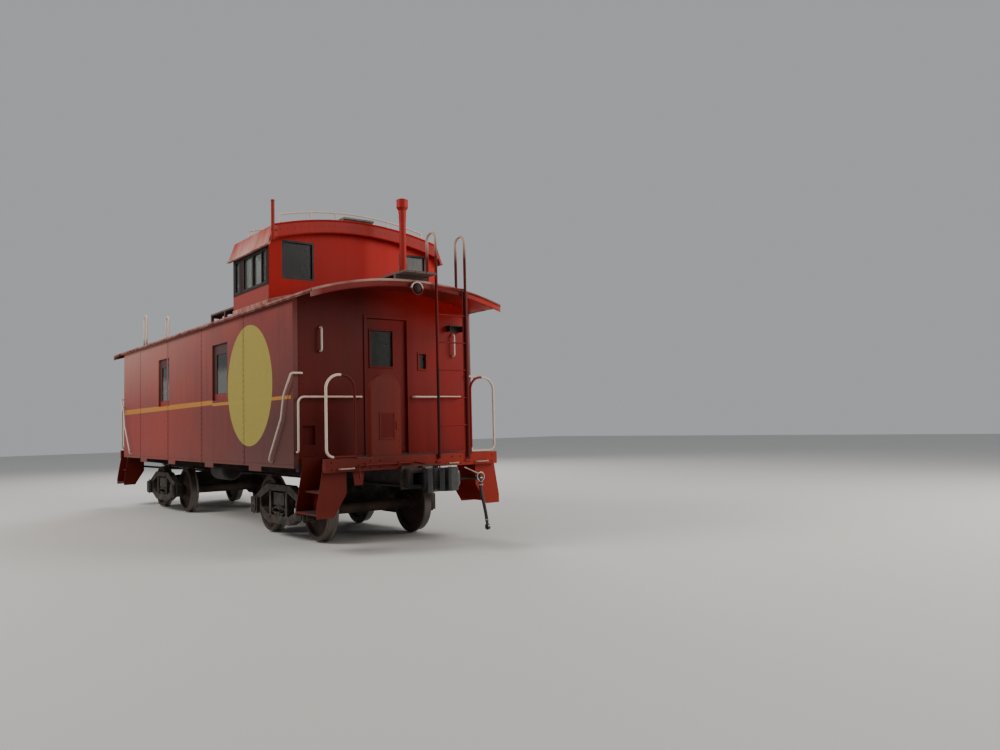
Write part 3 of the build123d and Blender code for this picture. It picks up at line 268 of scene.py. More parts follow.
# Marks that the other paints carry
def railMark(creamFrom, footStep, footSwing):  # cream from a distance off the middle outwards
    def mark(finish, colour, specks):
        worn = 0.97 - finish.span(specks, 0.62, 0.7) * 0.5
        foot = 1.0 - finish.span(finish.z, 1.27, 1.29)
        side = finish.y * (finish.span(finish.x, -0.1, 0.1) * 2.0 - 1.0)
        start = foot * (footStep - finish.span(side, -0.1, 0.1) * footSwing) + creamFrom
        cream = finish.span(abs(finish.y) - start, 0.0, 0.01)
        return finish.blend(cream * worn, colour, tints["cream"])
    return mark


def peelAndHighlightMark(eaveAt, amount):  # bare pale patches towards the eaves where the sun has peeled the paint, also standing as painted highlight along the lit edges, beads and hood
    def mark(finish, colour, specks):
        flakes = finish.noise(1.8, 4.0, 0.6, finish.stretched((1.6, 0.6, 0.6)))
        edge = finish.span(abs(finish.y), eaveAt - 0.12, eaveAt + 0.04)
        cover = finish.span(flakes, 0.30, 0.68) * edge * amount
        return finish.blend(cover, colour, tints["peeledAndLit"])
    return mark


def lampMark(finish, colour, specks):  # the rim's upper half is pale
    top = finish.span(finish.z + specks * 0.05, 3.455, 3.480)
    return finish.blend(top * 0.9, colour, tints["hood"])


def stackMark(finish, colour, specks):  # heat has dulled the stack in patches
    dull = finish.clouds(0.20, 0.60, 5.0, 3.0)
    return finish.blend(dull * 0.5, colour, tints["stack"])


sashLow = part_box("side_window_glass")[0][2]
longSides = ("|y|", 1.390, 1.394)
innerStile = ("|y|", 0.38, 0.37)
paintLooks = {  # red, patches (tint, amount and ranges from clear to covered), mark
    "sidePaint": ("side", (), sideMark),
    "sashPaint": ("side", [  # dark rails beside and above the glass
        ((0.030, 0.018, 0.018), 0.85, ("z", sashLow - 0.010, sashLow + 0.005))]),
    "endPaint": ("end", [  # painted light: a brighter red strip under the roof, lifting the shade of the overhang, strongest towards +y
        ((0.50, 0.012, 0.007), 0.8, ("z", 2.90, 3.35), ("y", -0.4, 0.8))]),
    "lampPaint": ("end", (), lampMark),
    "ladderPaint": ("end", [  # dark outer stiles, painted shade on the inner stiles that deepens low down, and sun-bleached hoops
        ((0.05, 0.006, 0.006), 0.7, ("|y|", 0.78, 0.79)),
        # painted shade on the inner stiles
        (tints["stileShade"], 0.30, innerStile),
        (tints["stileShade"], 0.55 / 0.70, innerStile, ("z", 2.50, 2.30)),
        (tints["cream"], 0.6, ("z", 3.90, 4.15)),
        (tints["cream"], 0.9, ("z", 3.55, 3.75), ("x", 1.0, -1.0))]),
    "railPaint": ("end", (), railMark(1.09, 0.11, 0.31)),
    "creamPaint": ("end", (), railMark(0.0, 0.0, 0.0)),
    "stepPaint": ("orange",),
    "deckPaint": ("orange", [((0.075, 0.050, 0.042), 0.9, ("z", 1.2035, 1.2045))]),
    "roofPaint": ("roof", [  # painted sunlight: the corners of the overhangs are lit a vivid red on their undersides, on the +y side
        ((0.42, 0.010, 0.006), 0.8, ("|x|", 4.40, 4.55), ("y", 0.75, 1.15), ("z", 3.50, 3.42))],
        peelAndHighlightMark(1.44, 0.6)),
    "beadPaint": ("roof", (), peelAndHighlightMark(0.0, 0.95)),
    "stackPaint": ("cupola", (), stackMark),
    "cupolaPaint": ("cupola", [  # dull long sides, with dark posts between the windows
        ((0.24, 0.052, 0.042), 0.85, longSides),
        ((0.012, 0.006, 0.006), 0.95, ("z", 3.605, 3.625), ("z", 4.31, 4.29), longSides)]),
    "hoodPaint": ("hood", (), peelAndHighlightMark(1.40, 0.85)),
}
finishes = {name: paintFinish(name, *look) for name, look in paintLooks.items()}
print("paints made:", len(finishes))


# Bare and dusty metals
metals = table(
    "dark rust dust rough metallic coat grain bump",
    ("truckIron", (0.013, 0.012, 0.011), (0.044, 0.026, 0.017), (0.095, 0.077, 0.060),
     0.70, 0.2, 0.0, 55.0, 0.35),
    ("couplerIron", (0.006, 0.007, 0.007), (0.018, 0.014, 0.012), (0.020, 0.020, 0.019),
     0.30, 0.0, 0.8, 22.0, 0.15),
    ("galvanised", (0.46, 0.44, 0.42), (0.26, 0.17, 0.12), (0.58, 0.54, 0.49),
     0.34, 0.7, 0.0, 60.0, 0.2),
    ("frameBlack", (0.016, 0.015, 0.015), (0.05, 0.024, 0.016), (0.070, 0.055, 0.045),
     0.66, 0.1, 0.0, 40.0, 0.35),
    ("windowDark", (0.009, 0.006, 0.006), (0.03, 0.008, 0.006), (0.026, 0.017, 0.016),
     0.66, 0.0, 0.0, 60.0, 0.3),
    ("insidePaint", (0.17, 0.20, 0.15), (0.10, 0.08, 0.05), (0.24, 0.25, 0.20),
     0.60, 0.0, 0.0, 30.0, 0.25),
)


def metalFinish(name, look):
    finish = Finish(name, {"Coat Weight": look["coat"], "Coat Roughness": 0.20})
    grain = finish.noise(look["grain"], 5.0, 0.62)
    patches = finish.clouds(0.40, 0.66, 4.5, 4.0)
    clouds = finish.noise(9.0, 5.0, 0.6) + finish.noise(2.0, 2.0) * 0.35
    dust = finish.span(clouds, 0.62, 0.90)
    colour = finish.blend(patches * 0.7, look["dark"], look["rust"])
    colour = finish.blend(dust * 0.65, colour, look["dust"])
    return finish.close(colour, look["rough"] + dust * 0.2 - patches * 0.08,
                        grain + patches * 0.4, look["bump"], 0.003, look["metallic"] * (1.0 - dust))


# Wheels: rusted discs and a bright worn tread
wheelLook = {
    "disc": (0.028, 0.018, 0.014), "rust": (0.070, 0.037, 0.023),
    "dust": (0.095, 0.074, 0.058), "worn": (0.19, 0.17, 0.15),
    "tread": (0.413, 0.449), "treadY": (0.685, 0.815),
}


def wheelFinish(name, centre, look):
    finish = Finish(name, {})
    reach = finish.distance(finish.x - centre[0], finish.z - centre[2])
    grain = finish.noise(48.0, 5.0, 0.62)
    patches = finish.clouds(0.38, 0.64, 5.0, 4.0)
    tread = finish.band(reach, *look["tread"], 0.002)
    tread = tread * finish.band(abs(finish.y), *look["treadY"], 0.003)
    colour = finish.blend(patches, look["disc"], look["rust"])
    colour = finish.blend(finish.span(grain, 0.5, 0.7) * 0.4, colour, look["dust"])
    colour = finish.blend(tread * 0.85, colour, look["worn"])
    return finish.close(colour, 0.74 - tread * 0.36 + grain * 0.06, grain, 0.3, 0.003,
                        tread * 0.8 + 0.1)


# Weathered boards: grain along the car, cracks and grey silvering
boards = {
    "runningWood": {"pale": (0.155, 0.095, 0.082), "deep": (0.055, 0.032, 0.028)},
    "walkWood": {"pale": (0.30, 0.25, 0.22), "deep": (0.12, 0.09, 0.08),
                 "metalAbove": 4.7175, "metalBeside": (0.252, 0.256)},
    "floorWood": {"pale": (0.20, 0.13, 0.08), "deep": (0.09, 0.055, 0.035)},
}
crackTint = (0.02, 0.016, 0.012)


def boardFinish(name, look):
    finish = Finish(name, {})
    along = finish.stretched((0.35, 9.0, 9.0))
    grain = finish.noise(9.0, 6.0, 0.68, along)
    cracks = finish.clouds(0.36, 0.30, 16.0, 3.0, 0.5, along)
    stains = finish.clouds(0.42, 0.64, 2.2, 3.0)
    colour = finish.blend(finish.span(grain, 0.3, 0.7), look["deep"], look["pale"])
    colour = finish.blend(stains * 0.4, colour, look["deep"])
    colour = finish.blend(cracks, colour, crackTint)
    roughness = 0.80 - stains * 0.08
    if "metalAbove" in look:  # the handrails in the same piece are painted
        metal = finish.span(finish.z, look["metalAbove"], look["metalAbove"] + 0.002)
        metal = finish.maths("MAXIMUM", metal, finish.span(abs(finish.y), *look["metalBeside"]))
        colour = finish.blend(metal, colour, tints["cream"])
        roughness = roughness - metal * 0.3
    return finish.close(colour, roughness, grain - cracks * 1.2, 0.5, 0.004)


# Glass: clear in the cupola's long sides, filmed over and duller elsewhere, with a painted
# reflection low in the side windows
glasses = {
    "windowGlass": {"index": 1.24, "clear": 0.70, "tint": (0.040, 0.048, 0.044),
                    "film": (0.075, 0.085, 0.078), "drip": (0.10, 0.10, 0.09),
                    "pale": (0.34, 0.36, 0.34), "paleBelow": 2.56},
    "cupolaGlass": {"index": 1.42, "clear": 0.94, "tint": (0.86, 0.92, 0.88),
                    "film": (0.74, 0.80, 0.75), "drip": (0.50, 0.52, 0.48),
                    "endPanes": (0.045, 0.040, 0.036)},
}


def glassFinish(name, look):
    finish = Finish(name, {"IOR": look["index"], "Transmission Weight": look["clear"]})
    film = finish.clouds(0.35, 0.75, 3.0, 4.0)
    run = finish.stretched((3.0, 3.0, 0.3))
    drips = finish.clouds(0.5, 0.8, 9.0, 4.0, 0.6, run)
    ends = finish.span(abs(finish.y), 1.33, 1.30)
    colour = finish.blend(film, look["tint"], look["film"])
    colour = finish.blend(drips * 0.4, colour, look["drip"])
    # painted reflection: pale low in the side windows
    if "paleBelow" in look:
        low = look["paleBelow"]
        below = finish.span(finish.z + film * 0.12, low + 0.12, low)
        sides = finish.span(abs(finish.y), 1.20, 1.21)
        colour = finish.blend(below * sides * 0.8, colour, look["pale"])
    if "endPanes" in look:
        colour = finish.blend(ends, colour, look["endPanes"])
    roughness = 0.05 + film * 0.10 + drips * 0.18 + ends * 0.22
    return finish.close(colour, roughness, finish.noise(1.2, 0.0), 0.02, 0.01)


def rubberFinish(name):
    finish = Finish(name, {})
    grain = finish.noise(120.0, 3.0)
    dust = finish.clouds(0.45, 0.70, 14.0, 4.0)
    colour = finish.blend(dust * 0.6, (0.014, 0.014, 0.014), (0.075, 0.065, 0.055))
    return finish.close(colour, 0.62 + dust * 0.22, grain, 0.3, 0.002)


def leatherFinish(name):
    finish = Finish(name, {"Coat Weight": 0.1})
    folds = finish.node("ShaderNodeTexVoronoi", {"feature": "DISTANCE_TO_EDGE"}, {
        "Vector": finish.place, "Scale": 110.0})
    worn = finish.clouds(0.42, 0.66, 4.0, 3.0)
    colour = finish.blend(worn, (0.045, 0.022, 0.014), (0.12, 0.065, 0.04))
    return finish.close(colour, 0.44 + worn * 0.2, finish.span(folds, 0.0, 0.12), 0.4, 0.002)


for looks, make in ((metals, metalFinish), (boards, boardFinish), (glasses, glassFinish)):
    finishes.update({name: make(name, look) for name, look in looks.items()})
finishes["hoseRubber"] = rubberFinish("hoseRubber")
finishes["seatLeather"] = leatherFinish("seatLeather")
print("metals, boards, glass and rubber made")


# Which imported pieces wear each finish, with a star for the name of either end
worn = {
    "sidePaint": "side_wall_left side_wall_right", "sashPaint": "side_window_sashes",
    "roofPaint": "roof", "hoodPaint": "cupola_roof", "cupolaPaint": "cupola_walls",
    "stackPaint": "smokestack vent_pole", "creamPaint": "grab_irons", "lampPaint": "end_lamps",
    "endPaint": "uncoupling_levers end_wall_* door_*", "ladderPaint": "ladder_*",
    "stepPaint": "brake_stand_* steps_*", "deckPaint": "platform_*", "railPaint": "end_railing_*",
    "windowDark": "cupola_window_frames marker_brackets",
    "frameBlack": "underframe brake_gear train_pipe stove",
    "insidePaint": "cupola_lockers bunk_lockers", "couplerIron": "glad_hand coupler_*",
    "truckIron": "truck_frames_* truck_bolster_* truck_springs_* truck_brakes_*",
    "runningWood": "running_boards", "walkWood": "cupola_walk", "floorWood": "floor",
    "windowGlass": "side_window_glass lookout_glass door_glass_*",
    "cupolaGlass": "cupola_glass", "seatLeather": "cupola_seats",
}


def wear(material, name):
    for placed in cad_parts[name].material_slots:
        placed.material = material


for (_, endName), (finishName, names) in product(carEnds, worn.items()):
    for name in names.replace("*", endName).split():
        wear(finishes[finishName], name)
for (_, endName), axle in product(carEnds, ("outer", "inner")):
    low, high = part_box(f"wheelset_{endName}_{axle}")
    middle = [(a + b) / 2 for a, b in zip(low, high)]
    wear(wheelFinish(f"wheelSteel_{endName}_{axle}", middle, wheelLook),
         f"wheelset_{endName}_{axle}")
print("packed pieces dressed")


# Air hose: one smooth run from the angle cock down to its coupling head
hoseLook = {
    "diameter": 0.046, "length": 0.548,
    "points": [(5.310, 0.955, 0.785), (5.310, 0.955, 0.675), (5.332, 0.985, 0.510),
               (5.340, 1.017, 0.345), (5.336, 1.033, 0.245)],
}


def addHose(look):
    curve = bpy.data.curves.new("airHose", "CURVE")
    curve.dimensions = "3D"
    curve.bevel_depth = look["diameter"] / 2
    curve.bevel_resolution = 6
    curve.resolution_u = 16
    curve.use_fill_caps = True
    run = curve.splines.new("NURBS")
    run.points.add(len(look["points"]) - 1)
    for point, place in zip(run.points, look["points"]):
        point.co = (*place, 1.0)
    run.order_u = 3
    run.use_endpoint_u = True
    hose = addObject("airHose", curve)
    curve.materials.append(finishes["hoseRubber"])
    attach(hose, "car_body")
    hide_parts("air_hose")


addHose(hoseLook)
print("hose hung")


# New pieces are gathered in a bmesh and placed in the frame of the car
def addMesh(name, shape, material, smooth=False):
    mesh = bpy.data.meshes.new(name)
    shape.to_mesh(mesh)
    shape.free()
    if smooth:
        mesh.shade_smooth()
    mesh.materials.append(material)
    return addObject(name, mesh)


def placePiece(name, shape, finishName, body="car_body", smooth=False):
    bmesh.ops.recalc_face_normals(shape, faces=shape.faces)
    piece = addMesh(name, shape, finishes[finishName], smooth)
    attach(piece, body)
    return piece


def atBothEnds(add, look):
    for end, endName in carEnds:
        add(end, endName, look)


def addBar(shape, start, stop, rounding=0.0):  # between any two opposite corners
    size = [abs(b - a) for a, b in zip(start, stop)]
    middle = [(a + b) / 2 for a, b in zip(start, stop)]
    matrix = Matrix.Translation(middle) @ Matrix.Diagonal((*size, 1.0))
    made = bmesh.ops.create_cube(shape, size=1.0, matrix=matrix)
    if rounding:
        edges = {edge for vert in made["verts"] for edge in vert.link_edges}
        bmesh.ops.bevel(shape, geom=list(edges), offset=rounding, offset_type="OFFSET", segments=2,
                        profile=0.5, affect="EDGES", material=-1)


def endBar(shape, end, x, y, z, rounding=0.0):  # drawn at the +X end and turned for the other
    addBar(shape, *((end * a, end * b, c) for a, b, c in zip(x, y, z)), rounding)


def addFrame(shape, end, face, proud, opening, width):
    left, right, low, high = opening
    reach = (face, face + proud)
    for y in ((left - width, left), (right, right + width)):
        endBar(shape, end, reach, y, (low - width, high + width), 0.002)
    for z in ((low - width, low), (high, high + width)):
        endBar(shape, end, reach, (left, right), z, 0.002)


def addCone(shape, place, radii, depth, turn=Matrix(), segments=20, capped=True):
    bmesh.ops.create_cone(shape, cap_ends=capped, segments=segments, radius1=radii[0],
                          radius2=radii[1], depth=depth, matrix=Matrix.Translation(place) @ turn)


def addStud(shape, place, outward, radius=0.009, height=0.006):
    turn = Vector((0, 0, 1)).rotation_difference(Vector(outward)).to_matrix().to_4x4()
    turn = turn @ Matrix.Translation((0, 0, height / 2))
    addCone(shape, place, (radius, radius * 0.5), height, turn, 8)


def addStudRow(shape, first, last, pitch, outward, *size):
    first, last = Vector(first), Vector(last)
    count = max(2, round((last - first).length / pitch) + 1)
    for i in range(count):
        addStud(shape, first.lerp(last, i / (count - 1)), outward, *size)


def addRing(shape, place, centre, radius, segments, steps):  # a full turn about a line along x
    bmesh.ops.create_circle(shape, segments=segments, radius=radius,
                            matrix=Matrix.Translation(place))
    bmesh.ops.spin(shape, geom=shape.verts[:] + shape.edges[:], cent=centre, axis=(1, 0, 0),
                   angle=2 * pi, steps=steps, use_merge=True)


# Strips, beads and rivets that follow an arched roof
mainArch = {"crown": 3.560, "radius": 4.7779}


def archHeight(arch, y):
    return arch["crown"] - arch["radius"] + (arch["radius"] ** 2 - y * y) ** 0.5


def addArchStrip(shape, arch, half, x, width, lift, thick):  # a flat grid, bent and thickened
    made = bmesh.ops.create_grid(shape, x_segments=1, y_segments=28, size=1.0)
    for vert in made["verts"]:
        y = vert.co.y * half
        vert.co = (x + vert.co.x * width / 2, y, archHeight(arch, y) + lift)
    faces = list({face for vert in made["verts"] for face in vert.link_faces})
    grown = bmesh.ops.extrude_face_region(shape, geom=faces)["geom"]
    lower = [part for part in grown if isinstance(part, bmesh.types.BMVert)]
    bmesh.ops.translate(shape, vec=(0, 0, -thick), verts=lower)


def addArchBead(shape, arch, half, x, lift, radius):
    reach = arch["radius"] + lift
    angle = asin(half / reach)
    centre = Vector((x, 0, arch["crown"] - arch["radius"]))
    start = centre + Matrix.Rotation(-angle, 3, "X") @ Vector((0, 0, reach))
    matrix = Matrix.Translation(start) @ Matrix.Rotation(pi / 2 - angle, 4, "X")
    ring = bmesh.ops.create_circle(shape, segments=8, radius=radius, matrix=matrix)
    edges = list({edge for vert in ring["verts"] for edge in vert.link_edges})
    bmesh.ops.spin(shape, geom=ring["verts"] + edges, cent=centre, axis=(1, 0, 0),
                   angle=2 * angle, steps=32)


def addArchStuds(shape, arch, half, count, x, lift, outward, size):
    for i in range(count + 1):
        y = half * (2 * i / count - 1)
        addStud(shape, (x, y, archHeight(arch, y) + lift), outward, *size)


# Side walls: lapped seams with rivets, and rivet rows along the edges
sideTrim = {"pitch": 0.085, "strap": 0.060, "thick": 0.004, "rounding": 0.0015, "bottom": 1.075,
            "rowOff": 0.016, "topGap": 0.06, "bottomGap": 0.045, "endGap": 0.03}


def addSideTrim(look):
    half, gap = look["strap"] / 2, look["endGap"]
    for side, sideName in ((1, "left"), (-1, "right")):
        low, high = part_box(f"side_wall_{sideName}")
        outward = (0, side, 0)
        face = (high if side > 0 else low)[1]
        proud = face + side * look["thick"]
        bottom, top = look["bottom"], high[2] - look["topGap"]
        strips = bmesh.new()
        studs = bmesh.new()
        for x in sideSeams:
            addBar(strips, (x - half, face, bottom + 0.002), (x + half, proud, high[2] - 0.02),
                   look["rounding"])
            for row in (x - look["rowOff"], x + look["rowOff"]):
                addStudRow(studs, (row, proud, bottom + gap), (row, proud, top), look["pitch"],
                           outward)
        for z in (bottom + look["bottomGap"], top):
            addStudRow(studs, (low[0] + gap, face, z), (high[0] - gap, face, z), look["pitch"],
                       outward)
        placePiece(f"sideSeams_{sideName}", strips, "sidePaint")
        placePiece(f"sideRivets_{sideName}", studs, "sidePaint")


addSideTrim(sideTrim)
print("side walls trimmed")


# End walls and doors: rivets round the edges, raised panels, and frames round the glass
endTrim = {
    "face": 4.480, "half": 1.335, "bottom": 1.235, "cornerTop": 3.30, "pitch": 0.085,
    "arch": {"crown": 3.560, "radius": 4.778}, "archDrop": 0.15, "door": (-0.42, 0.38),
    "frame": (0.010, (0.51, 0.62, 2.415, 2.625), 0.028),  # proud, opening, width
    "doorFace": 4.455, "doorFrames": [(0.012, (-0.27, 0.08, 2.435, 2.935), 0.022),
                                      (0.008, (-0.265, 0.225, 1.33, 2.02), -0.030)],
    "doorPlates": [((4.455, 4.459), (-0.215, 0.175), (1.38, 1.97), 0.0015),
                   ((4.455, 4.461), (-0.31, 0.27), (1.235, 1.30), 0.002)],
}


def addEndTrim(end, endName, look):
    half, bottom, pitch = look["half"], look["bottom"], look["pitch"]
    outward = (end, 0, 0)
    wall = end * look["face"]
    studs = bmesh.new()
    for y in (-half, half):
        addStudRow(studs, (wall, y, bottom), (wall, y, look["cornerTop"]), pitch, outward)
    for first, last in ((-half, look["door"][0]), (look["door"][1], half)):
        addStudRow(studs, (wall, end * first, bottom), (wall, end * last, bottom), pitch, outward)
    steps = int(2 * half / pitch)
    for i in range(1, steps):
        y = half * (2 * i / steps - 1)
        addStud(studs, (wall, y, archHeight(look["arch"], y) - look["archDrop"]), outward)
    placePiece(f"endRivets_{endName}", studs, "endPaint")
    frames = bmesh.new()
    addFrame(frames, end, look["face"], *look["frame"])
    placePiece(f"lookoutFrame_{endName}", frames, "endPaint")
    panels = bmesh.new()
    for doorFrame in look["doorFrames"]:
        addFrame(panels, end, look["doorFace"], *doorFrame)
    for plate in look["doorPlates"]:
        endBar(panels, end, *plate)
    placePiece(f"doorPanels_{endName}", panels, "endPaint", f"door_{endName}")


atBothEnds(addEndTrim, endTrim)
print("end walls and doors trimmed")


# Cupola: rivets, flashing at its foot, beads along its fascias and straps on the vent pole
cupolaTrim = {
    "arch": {"crown": 4.655, "radius": 4.8203}, "beadHalf": 1.34, "flashHalf": 1.40,
    "fascia": 0.200, "overhang": 0.100, "pitch": 0.085, "stud": (0.008, 0.005),
    "corner": 1.375, "cornerZ": (3.46, 4.20), "sideZ": (3.44, 4.13), "sillZ": 3.62,
    "flash": 0.010, "flashZ": (3.3535, 3.405), "flashRow": 3.38, "eave": (1.455, 4.160),
}
poleTrim = {
    "place": (3.7453, -1.380), "bolt": (0.009, 0.008), "boltOff": 0.055,
    "collars": [(4.262, 0.030, 0.026), (4.372, 0.030, 0.026), (4.780, 0.028, 0.014)],
    "arms": [((3.7202, 3.728), (-1.404, -1.305), (z - 0.013, z + 0.013)) for z in (4.262, 4.372)],
}  # a collar: z, radius, depth


def addCupolaTrim(look):
    low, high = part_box("cupola_walls")
    arch, pitch, stud, flash = look["arch"], look["pitch"], look["stud"], look["flash"]
    studs = bmesh.new()
    flashing = bmesh.new()
    beads = bmesh.new()
    for end, face in ((1, high[0]), (-1, low[0])):
        outward = (end, 0, 0)
        for y in (-look["corner"], look["corner"]):
            bottom, top = look["cornerZ"]
            addStudRow(studs, (face, y, bottom), (face, y, top), pitch, outward, *stud)
        addArchStuds(studs, arch, 1.30, 28, face, -look["fascia"] - 0.035, outward, stud)
        addArchStuds(studs, mainArch, 1.30, 28, face + end * flash, 0.032, outward, stud)
        addArchStrip(flashing, mainArch, look["flashHalf"], face + end * flash / 2, flash,
                     0.058, 0.056)
        fascia = face + end * look["overhang"]
        addArchBead(studs, arch, look["beadHalf"], fascia + end * 0.003, -0.014, 0.013)
        addArchBead(studs, arch, look["beadHalf"], fascia + end * 0.002,
                    0.012 - look["fascia"], 0.008)
        addArchStuds(studs, arch, 1.25, 24, fascia, -look["fascia"] / 2, outward, stud)
    eaveY, eaveZ = look["eave"]
    for side, face in ((1, high[1]), (-1, low[1])):
        outward = (0, side, 0)
        proud = face + side * flash
        for x in (low[0] + 0.025, high[0] - 0.025):
            bottom, top = look["sideZ"]
            addStudRow(studs, (x, face, bottom), (x, face, top), pitch, outward, *stud)
        for gap, y, z in ((0.10, face, look["sillZ"]), (0.03, proud, look["flashRow"])):
            addStudRow(studs, (low[0] + gap, y, z), (high[0] - gap, y, z), pitch, outward, *stud)
        bottom, top = look["flashZ"]
        addBar(flashing, (low[0] - 0.01, face, bottom), (high[0] + 0.01, proud, top), 0.003)
        addBar(beads, (low[0] - 0.10, side * eaveY - 0.012, eaveZ - 0.004),
               (high[0] + 0.10, side * eaveY + 0.010, eaveZ + 0.020), 0.004)
    placePiece("cupolaRivets", studs, "cupolaPaint")
    placePiece("cupolaFlashing", flashing, "beadPaint")
    placePiece("cupolaBeads", beads, "beadPaint", smooth=True)


def addPoleTrim(look):
    straps = bmesh.new()
    x, y = look["place"]
    for z, radius, depth in look["collars"]:
        addCone(straps, (x, y, z), (radius, radius), depth, segments=24)
    for arm in look["arms"]:
        endBar(straps, 1, *arm, 0.002)
        place = (arm[0][1], y + look["boltOff"], sum(arm[2]) / 2)
        addStud(straps, place, (1, 0, 0), *look["bolt"])
    placePiece("poleStraps", straps, "stackPaint")


addCupolaTrim(cupolaTrim)
addPoleTrim(poleTrim)
print("cupola trimmed")


# Main roof: battens over the sheet, beads along its end fascias and a drip rail on each eave
roofTrim = {"half": 1.475, "width": 0.045, "thick": 0.006, "end": 5.180, "fascia": 0.105,
            "battens": (-4.4, -3.3, -2.2, -1.1, 0.0, 1.1, 3.95, 4.9), "railY": 1.4725}


def addRoofTrim(look):
    battens = bmesh.new()
    beads = bmesh.new()
    half, thick = look["half"], look["thick"]
    for x in look["battens"]:
        addArchStrip(battens, mainArch, half, x, look["width"], thick, thick + 0.002)
    for end in (-look["end"], look["end"]):
        addArchBead(beads, mainArch, half, end, -0.016, 0.017)
        fascia = end + (0.002 if end > 0 else -0.002)
        addArchBead(battens, mainArch, half, fascia, 0.010 - look["fascia"], 0.008)
    eave = archHeight(mainArch, half)
    for y in (-look["railY"], look["railY"]):
        addBar(beads, (-look["end"], y - 0.0075, eave - 0.046),
               (look["end"], y + 0.0125, eave - 0.026), 0.005)
    placePiece("roofBattens", battens, "roofPaint")
    placePiece("roofBeads", beads, "beadPaint", smooth=True)


addRoofTrim(roofTrim)
print("roof trimmed")


# End lamps: a pale rim round a dull lens
lampLook = {"place": (5.236, 0.030, 3.435), "radius": 0.086, "rim": 0.010, "bulge": 0.16,
            "lens": (0.022, 0.004, 0.004), "grime": (0.010, 0.006, 0.005)}


def lensFinish(name, look):
    finish = Finish(name, {"Coat Weight": 0.05, "Coat Roughness": 0.10,
                           "Specular IOR Level": 0.06})
    middle = finish.stretched((1, 1, 1), (0, -look["place"][1], -look["place"][2]))
    rings = finish.node("ShaderNodeTexWave", {"wave_type": "RINGS", "rings_direction": "X"}, {
        "Vector": middle, "Scale": 22.0})
    grime = finish.clouds(0.42, 0.70, 18.0, 4.0)
    colour = finish.blend(grime * 0.7, look["lens"], look["grime"])
    return finish.close(colour, 0.42 + grime * 0.3, rings, 0.15, 0.002)


def addLamps(end, endName, look):
    x, y, z = look["place"]
    centre = Vector((end * x, end * y, z))
    turn = Matrix.Translation(centre) @ Matrix.Rotation(end * pi / 2, 4, "Y")
    rim = bmesh.new()
    addRing(rim, centre + Vector((0, look["radius"], 0)), centre, look["rim"], 10, 36)
    placePiece(f"lampRim_{endName}", rim, "lampPaint", smooth=True)
    lens = bmesh.new()
    bmesh.ops.create_uvsphere(lens, u_segments=32, v_segments=12, radius=look["radius"],
                              matrix=turn @ Matrix.Diagonal((1, 1, look["bulge"], 1)))
    bmesh.ops.translate(lens, vec=(-end * look["rim"], 0, 0), verts=lens.verts)
    placePiece(f"lampLens_{endName}", lens, "lampLens", smooth=True)


finishes["lampLens"] = lensFinish("lampLens", lampLook)
atBothEnds(addLamps, lampLook)
print("end lamps glazed")


# Trucks: journal box lids with their hinge, and bolts on the side frames
truckX = 3.0
journalLook = {
    "centres": (2.16, 3.84), "y": 1.073, "z": 0.444, "half": 0.092, "thick": 0.016,
    "boss": ((0.055, 0.020), 0.022), "bossOut": 0.020,  # radii and depth
    "hinge": ((0.014, 0.014), 0.16), "hingeOut": 0.006, "hingeUp": 0.094,
    "boltFace": 1.033, "bolt": (0.020, 0.018),
    "bolts": [(x, z) for x, zs in ((0.30, (0.30, 0.69)), (0.93, (0.315, 0.585)))
              for x in (-x, x) for z in zs],  # x from the truck's centre, z
}


def addTruckTrim(end, endName, look):
    half = look["half"]
    hingeTurn = Matrix.Rotation(pi / 2, 4, "Y")
    lids = bmesh.new()
    bolts = bmesh.new()
    for side in (-1, 1):
        outward = Matrix.Rotation(-side * pi / 2, 4, "X")
        for x in look["centres"]:
            x, y, z = end * x, side * look["y"], look["z"]
            addBar(lids, (x - half, y, z - half),
                   (x + half, y + side * look["thick"], z + half * 0.9), 0.005)
            addCone(lids, (x, y + side * look["bossOut"], z), *look["boss"], outward, 24)
            addCone(lids, (x, y + side * look["hingeOut"], z + look["hingeUp"]), *look["hinge"],
                    hingeTurn, 14)
        for x, z in look["bolts"]:
            addStud(bolts, (end * truckX + x, side * look["boltFace"], z), (0, side, 0),
                    *look["bolt"])
    for name, shape in (("journalLids", lids), ("frameBolts", bolts)):
        placePiece(f"{name}_{endName}", shape, "truckIron", f"truck_{endName}")


atBothEnds(addTruckTrim, journalLook)
print("trucks trimmed")


# Leaf springs: each bow is a pack of separate leaves, with the buckle round the middle
springLook = {
    "y": 0.978, "low": 0.330, "high": 0.480, "mid": 0.405, "endGap": 0.010, "reach": 0.235,
    "leaf": 0.0062, "gap": 0.0008, "count": 6, "shorten": 0.11, "width": 0.090,
    "buckle": (0.045, 0.052, 0.055), "roller": 0.014, "rollerIn": 0.006,
}


def addLeaf(shape, look, centreX, side, bow, index):
    half = look["reach"] * (1 - look["shorten"] * index)
    made = bmesh.ops.create_grid(shape, x_segments=18, y_segments=1, size=1.0)
    start = look["low"] if bow < 0 else look["high"]
    rise = look["mid"] + bow * look["endGap"] - start
    away = -bow * index * (look["leaf"] + look["gap"])
    for vert in made["verts"]:
        x = vert.co.x * half
        y = side * look["y"] + vert.co.y * look["width"] / 2
        vert.co = (centreX + x, y, start + rise * (x / look["reach"]) ** 2 + away)
    faces = list({face for vert in made["verts"] for face in vert.link_faces})
    bmesh.ops.solidify(shape, geom=faces, thickness=look["leaf"])


